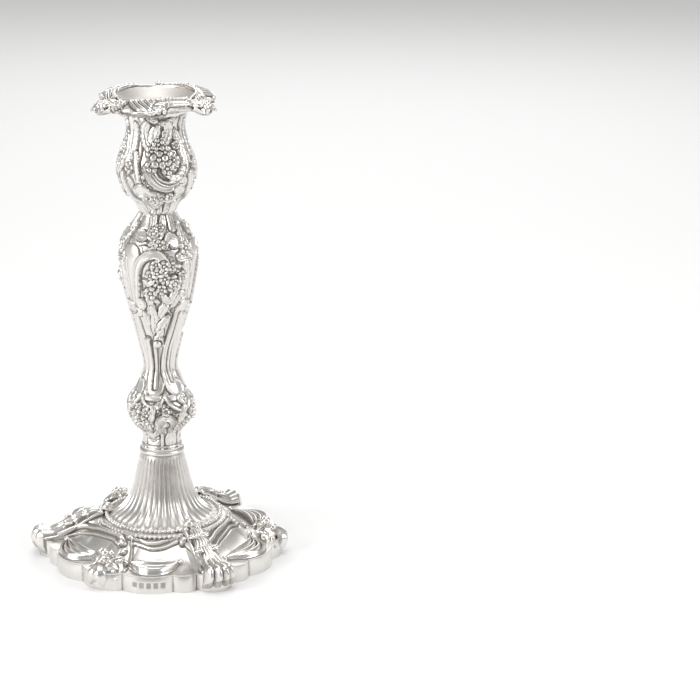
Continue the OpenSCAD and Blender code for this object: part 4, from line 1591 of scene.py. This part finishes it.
@dataclass
class Column:
    """Fluted column, the beads round its foot, the collar and the spool over it."""

    stations: Points = field(default_factory=lambda: [
        (33, 0), (28.4, 0.06), (22.4, 0.17), (18.4, 0.32), (16.0, 0.5), (14.1, 0.72), (12.4, 0.9),
        (11.4, 1),
    ])
    step: float = 0.4
    flutes: int = 36
    depth: float = 1.15
    fine: int = 14
    wall: float = 2.4

    def build(self) -> None:
        """Makes the pieces and sets them in place of their nodes."""
        line = Outline(self.stations, *heights("fluted_column"), self.step)
        cols = self.flutes * self.fine
        angle = np.arange(cols)[None, :] * 360 / cols
        outer = polar(line.r[:, None], angle, line.z[:, None])
        inner = polar(line.r[:, None] - self.wall, angle, line.z[:, None])
        share = np.broadcast_to((line.s / line.s[-1])[:, None], (len(line.s), cols))
        body = closed_ring(outer, inner, share)
        inputs = {"Flutes": self.flutes, "Depth": self.depth * MM, "Ridge": 0.45}
        made = grown("fluted_body", body, flute_tree(), inputs, PLAIN, 70.0)
        settle(made, "candlestick", "polished_silver", "fluted_column")
        self._beads()
        self._collar()

    @staticmethod
    def _beads() -> None:
        """Row of uneven beads round the column's foot."""
        z = PLAN.foot_z
        ring = [(31.2, z - 0.5), (34.2, z - 0.5), (34.2, z + 0.3), (33.2, z + 0.9), (31.8, z + 0.9)]
        rim = lathe(ring, oxide=0.4)
        inputs = {
            "Beads": 84, "Ring radius": 30.6 * MM, "Height": (z + 1.9) * MM, "Bead radius": 1.15 * MM,
            "Unevenness": 0.3, "Seed": 4,
        }
        made = grown("foot_beads", rim, bead_tree(), inputs, CAST)
        settle(made, "candlestick", "cast_silver", "foot_bead_ring")

    @staticmethod
    def _collar() -> None:
        """Stepped ring over the column's top."""
        low, high = heights("collar_ring")
        z = np.array([0, 0, 0.08, 0.22, 0.42, 0.58, 0.7, 0.76, 0.86, 1, 1]) * (high - low) + low
        r = [9.4, 11.1, 11.7, 12.0, 12.0, 11.8, 11.2, 10.8, 10.9, 10.7, 9.4]
        made = piece("collar", lathe(list(zip(r, z))), PLAIN)
        settle(made, "candlestick", "polished_silver", "collar_ring")


@dataclass
class Spool(Stage):
    """Waisted neck of smooth tongues and leaves between the collar and the knop."""

    node: str = "spool_neck"
    name: str = "spool"
    thirds: bool = False
    ground: float = -0.5
    wall: float = 1.5
    stations: Points = field(default_factory=lambda: [(10.6, 0), (10.2, 0.25), (9.9, 0.55), (10.8, 1)])

    def relief(self, field_: Relief) -> None:
        """Lays the tongues and leaves."""
        f = Form
        field_.lay_all([
            Band([(-25, 62.3), (-25, 70.6)], 8.6, 0.5, f.FLAT, level=-0.4),
            Band([(35, 62.5), (35, 70.6)], 7.4, 0.8, f.LEAF, level=-0.5, belly=0.3),
            Band([(-54, 62), (-54, 71)], 2.0, 0.9, level=-0.4),
            Band([(5, 62), (5, 71)], 2.0, 0.9, level=-0.4),
            Band([(-60, 63), (0, 63), (60, 63)], 1.2, 0.6, level=-0.2),
            Band([(-46, 68.6), (-25, 66.4), (-4, 68.6)], 0.9, 0.45, level=-0.1),
        ])


# ---- Nozzle ----


@dataclass
class Nozzle:
    """Loose nozzle: a sleeve, a plain funnel-shaped dish and a cast border with three flowers."""

    crest: float = 254.0
    inner: float = 19.6
    outer: float = 32.8
    step: float = 0.22
    wall: float = 1.2
    wave: float = 0.9

    def build(self) -> None:
        """Makes the pieces and sets them in place of their nodes."""
        self._turned()
        self._border()
        self._flowers()

    def _turned(self) -> None:
        """Dish and sleeve of the nozzle, and the socket that it sits in."""
        top = smooth_line([
            (20.4, 253.3), (19.2, 252.3), (17.6, 250.8), (15.6, 249.1), (13.8, 248.1), (12.6, 247.7),
            (11.75, 247.4),
        ], 6)
        under = [(11.6, 247.0), (12.2, 246.6), (17.0, 246.5), (18.6, 248.7), (20.4, 251.4)]
        made = piece("dish", lathe([*under, *map(tuple, top)]), WORN)
        settle(made, "nozzle", "polished_silver", "nozzle_pan")
        low, high = heights("nozzle_sleeve")
        ring = [(11.6, low), (12.2, low), (12.2, high), (11.6, high)]
        made = piece("sleeve", lathe(ring, oxide=0.75), SOCKET)
        settle(made, "nozzle", "socket_silver", "nozzle_sleeve")
        low, high = heights("socket_liner")
        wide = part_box("socket_liner")[1].x / MM
        lip = high - 0.8
        ring = [(12.28, low), (12.78, low), (12.78, lip), (wide, lip), (wide, high), (12.28, high)]
        made = piece("liner", lathe(ring, oxide=0.7), SOCKET)
        settle(made, "candlestick", "socket_silver", "socket_liner")

    def _reach(self, angle: Array) -> Array:
        """Share of the full width that the border has at an angle: all of it at the scrolls."""
        a = around(angle)
        beads = ease((a - 12) / 8) * ease((54 - a) / 8)
        left = ease((a + 56) / 6) * ease((-34 - a) / 6)
        ripple = 0.03 * np.cos(np.radians(a) * 24)
        swag = 0.12 * np.exp(-(((a + 2) / 14) ** 2))
        ends = 0.22 * ease((np.abs(a) - 48) / 8)
        return 0.87 + swag - 0.22 * beads - 0.1 * left + ripple * (1 - beads) + ends

    def _ornament(self) -> list[Band | Flower]:
        """Ornament of one segment, by angle and radius."""
        ribs = [
            Band([(-31 + 7.2 * k, 21.9), (-27 + 7.4 * k, 24.8), (-18 + 7.0 * k, 28.2),
                  (-9 + 5.4 * k, 30.8)], 3.2, 2.4, level=-0.9, taper=(0.6, 1.1))
            for k in range(5)
        ]
        beads = [Flower(15 + 5.0 * i, 22.3, 1.25, 3, 1.9, 0.1, heart=0.9) for i in range(8)]
        leaves = [
            Band(path, width, rise, Form.LEAF, lobes=lobes, belly=0.3, level=level)
            for path, width, rise, lobes, level in (
                ([(-60, 22.5), (-50, 25.5), (-41, 27.5)], 4.6, 1.3, 3, -0.7),
                ([(-60, 27), (-53, 31), (-50, 32.5)], 4.2, 1.4, 3, -0.6),
                ([(60, 27), (53, 31), (50, 32.5)], 4.2, 1.4, 3, -0.6),
                ([(60, 22.5), (56, 26), (54, 29)], 4.2, 1.3, 2, -0.7),
            )
        ]
        rods = [
            Band(path, width, rise, level=level)
            for path, width, rise, level in (
                ([(-60, 20.9), (-44, 20.7), (-24, 21.3), (0, 20.8), (12, 21)], 1.5, 1.1, -0.2),
                ([(12, 20.6), (30, 20.4), (48, 20.5), (60, 20.8)], 1.1, 0.8, -0.2),
                ([(8, 24.6), (20, 24.8), (34, 24.5), (50, 24.8)], 1.6, 1.3, -0.5),
                ([(4, 26.6), (18, 27), (34, 26.4), (52, 26.8)], 2.0, 1.5, -0.5),
                ([(2, 28.9), (16, 29.3), (34, 28.3), (52, 28.8)], 1.4, 1.1, -0.4),
            )
        ]
        scroll = [(-36, 25), (-37, 28), (-30, 30.8), (-16, 32.1), (-2, 32), (10, 30.4), (16, 27.6)]
        curls = (Curl(1.5, 0.9, -1), Curl(1.5, 0.8, 1))
        return [
            *leaves, *ribs, *rods, *beads,
            Band(scroll, 1.5, 1.7, level=-0.5, curls=curls),
            Flower(-43, 30, 2.6, 8, 1.8),
            Flower(-46, 24.4, 2.0, 7, 1.6),
        ]

    def _border(self) -> None:
        """Border's three castings."""
        step = spacing(self.step)
        disc = Disc(self.inner, self.outer, step)
        field_ = Relief(disc, step, -0.7)
        field_.lay_all(self._ornament())
        noise = np.random.default_rng(3).standard_normal(field_.h.shape)
        field_.h = field_.h + 0.04 * noise * ease((-0.4 - field_.h) / 0.4)
        oxide = cavity(field_.h, step)
        wide = (np.arange(field_.cols + 1) + field_.cols // 2) % field_.cols
        angle = (60 + np.arange(field_.cols + 1) * PERIOD / field_.cols)[None, :]
        share = ((disc.r - self.inner) / (self.outer - self.inner))[:, None]
        size = self._reach(angle)
        radius = self.inner + (self.outer - self.inner) * share * size
        drop = 5.4 * np.minimum(size, 0.96) ** 1.6
        fall = drop * np.clip((share - 0.1) / 0.9, 0, 1) ** 1.6
        fade = np.sin(np.pi / 2 * np.clip(share / 0.15, 0, 1))
        lift = self.wave * np.cos(np.radians(3 * around(angle))) * fade
        z = self.crest - 0.9 + 0.5 * ease(share / 0.1) - fall + lift
        grid = polar(radius, angle, z)[::-1]
        h, oxide = field_.h[:, wide][::-1], oxide[:, wide][::-1]
        n = normals(grid, False)
        outer = grid + h[..., None] * n
        inner = (grid - (self.wall + 0.8) * n)[::THIN, ::THIN]
        beads = []
        for a in np.arange(14.0, 54.0, 5.6):
            bead_z = self.crest + 0.7 + self.wave * math.cos(math.radians(3 * a))
            beads.append(ball(polar(21.2, PERIOD + a, bead_z), 0.98))
        segment = Solid.join([shell(outer, inner, oxide), *beads])
        settle_repeats("border", segment, 0.0, CAST, ("nozzle", "cast_silver", "border_segment"))

    def _flowers(self) -> None:
        """Daisies on leaf points, over the joints of the border."""
        petals = [petal(4.6, 1.7, 0.7, 0.4, -0.25, 0.6, 0.05).turned(i * 30) for i in range(12)]
        inner = [petal(2.8, 1.3, 0.9, 0.1, -0.2, 0.5, 0.05).turned(i * 36 + 11) for i in range(10)]
        low_leaf = leaf(6.2, 4.6, 3, 0.5, 0.8).placed((0, 0, -0.7))
        leaves = [low_leaf.turned(a) for a in (-50, 50, 130, -130)]
        raised = [p.placed((0, 0, 0.35)) for p in inner]
        daisy = Solid.join([*petals, *raised, *leaves, ball((0, 0, 0.9), 1.2)]).tipped(24)
        one = daisy.placed((0, -31.2, self.crest - 2.6), 1.12)
        settle_repeats("daisy", one, 60.0, CAST, ("nozzle", "cast_silver", "nozzle_flower"))


# ---- Hidden parts ----


@dataclass(frozen=True)
class Plain:
    """Even finish with a little grain, for a part that is seldom seen."""

    name: str
    color: tuple[float, float, float, float]
    rough: float
    grain: tuple[float, float, float] = (400.0, 400.0, 400.0)
    metal: float = 0.0

    def material(self) -> bpy.types.Material:
        """The finish as a material."""
        made, t = blank_material(self.name)
        place = t.add("ShaderNodeTexCoord").outputs["Object"]
        stretched = t.add("ShaderNodeMapping", {"Vector": place, "Scale": self.grain}).outputs[0]
        grain = {"Vector": stretched, "Scale": 1.0, "Detail": 5.0}
        noise = t.add("ShaderNodeTexNoise", grain).outputs["Fac"]
        dark = tuple(0.6 * c for c in self.color[:3]) + (1.0,)
        bump = t.add("ShaderNodeBump", {"Height": noise, "Strength": 0.4, "Distance": 0.0003})
        shader = t.add("ShaderNodeBsdfPrincipled", {
            "Base Color": t.tint(noise, dark, self.color), "Roughness": self.rough,
            "Metallic": self.metal, "Normal": bump.outputs[0],
        })
        t.add("ShaderNodeOutputMaterial", {"Surface": shader.outputs[0]})
        return made


HIDDEN = {
    "baize_pad": Plain("green baize", (0.03, 0.09, 0.045, 1), 0.95, (1500.0, 1500.0, 1500.0)),
    "base_board": Plain("pine board", (0.45, 0.28, 0.13, 1), 0.6, (60.0, 900.0, 900.0)),
    "core_rod": Plain("iron rod", (0.12, 0.11, 0.1, 1), 0.5, metal=1.0),
    "pitch_filling": Plain("pitch", (0.02, 0.015, 0.01, 1), 0.35),
    "socket_floor": Plain("socket floor", (0.4, 0.36, 0.31, 1), 0.4, metal=1.0),
    "nozzle_floor": Plain("nozzle floor", (0.4, 0.36, 0.31, 1), 0.4, metal=1.0),
}


def paint_hidden(nodes: dict[str, bpy.types.Object]) -> None:
    """Gives the hidden parts their finishes."""
    for name, finish in HIDDEN.items():
        nodes[name].data.materials.clear()
        nodes[name].data.materials.append(finish.material())


# ---- Studio ----


CAMERA_PLACE = (0.101, -1.541, 0.592)
CAMERA_DROP = 17.22  # degrees that it looks down
AIM = (0, 0, 0.13)  # point that the lights face
FLOOR = 6  # half the floor's width
SKY = ((0.02, 0.5), (0.46, 0.7), (0.5, 0.75), (0.56, 0.5), (0.66, 0.34), (0.8, 0.42), (0.98, 0.6))
LIGHTS = (
    ("left softbox", (-0.9, -0.6, 0.55), 0.6, 7),
    ("right softbox", (1.0, -0.3, 0.6), 0.5, 4),
    ("back softbox", (0.1, 1.2, 0.8), 0.9, 4),
    ("overhead", (0.0, 0.0, 1.5), 1.0, 8),
)


def light(name: str, place: Place, size: float, energy: float) -> None:
    """Adds a square soft light that faces the stick."""
    lamp = bpy.data.lights.new(name, "AREA")
    lamp.shape, lamp.size, lamp.energy = "SQUARE", size, energy
    made = bpy.data.objects.new(name, lamp)
    made.location = place
    towards = Vector(AIM) - Vector(place)
    made.rotation_euler = towards.to_track_quat("-Z", "Y").to_euler()
    bpy.context.scene.collection.objects.link(made)


def studio() -> None:
    """Adds the camera, the floor and the soft lights."""
    scene = bpy.context.scene
    cam = bpy.data.cameras.new("camera")
    cam.lens, cam.sensor_width = 156.0, 36.0
    made = bpy.data.objects.new("camera", cam)
    made.location = CAMERA_PLACE
    made.rotation_euler = (math.radians(90 - CAMERA_DROP), 0, 0)
    scene.collection.objects.link(made)
    scene.camera = made
    world = bpy.data.worlds.new("studio")
    world.use_nodes = True
    t = Tree(world.node_tree)
    world.node_tree.nodes.clear()
    place = t.add("ShaderNodeTexCoord").outputs["Generated"]
    up = t.add("ShaderNodeSeparateXYZ", {0: place}).outputs["Z"]
    ramp = t.add("ShaderNodeValToRGB", {"Fac": t.math("MULTIPLY_ADD", up, 0.5, 0.5)})
    for position, value in SKY:
        stop = ramp.color_ramp.elements.new(position)
        stop.color = (value, value, value * 0.985, 1)
    back = t.add("ShaderNodeBackground", {"Color": ramp.outputs[0], "Strength": 1.0})
    t.add("ShaderNodeOutputWorld", {"Surface": back.outputs[0]})
    scene.world = world
    mesh = bpy.data.meshes.new("floor")
    corners = [(x * FLOOR, y * FLOOR, 0) for x, y in ((-1, -1), (1, -1), (1, 1), (-1, 1))]
    mesh.from_pydata(corners, [], [(0, 1, 2, 3)])
    floor = bpy.data.objects.new("floor", mesh)
    paper = bpy.data.materials.new("white paper")
    paper.use_nodes = True
    inputs = paper.node_tree.nodes["Principled BSDF"].inputs
    inputs["Base Color"].default_value = (0.9, 0.9, 0.9, 1)
    inputs["Roughness"].default_value = 0.7
    mesh.materials.append(paper)
    scene.collection.objects.link(floor)
    for row in LIGHTS:
        light(*row)
    scene.view_settings.view_transform = "Standard"


def main() -> None:
    """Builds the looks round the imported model."""
    logging.basicConfig(level=logging.INFO, format="%(message)s")
    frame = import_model()
    studio()
    for assembly in (BasePlate, BaseSkirt, Crescents, CornerMounts, FlowerMounts, Column, Spool, Knop,
                     Stem, Cup, Nozzle):
        assembly().build()
    paint_hidden(frame["nodes"])


if __name__ == "__main__":
    main()
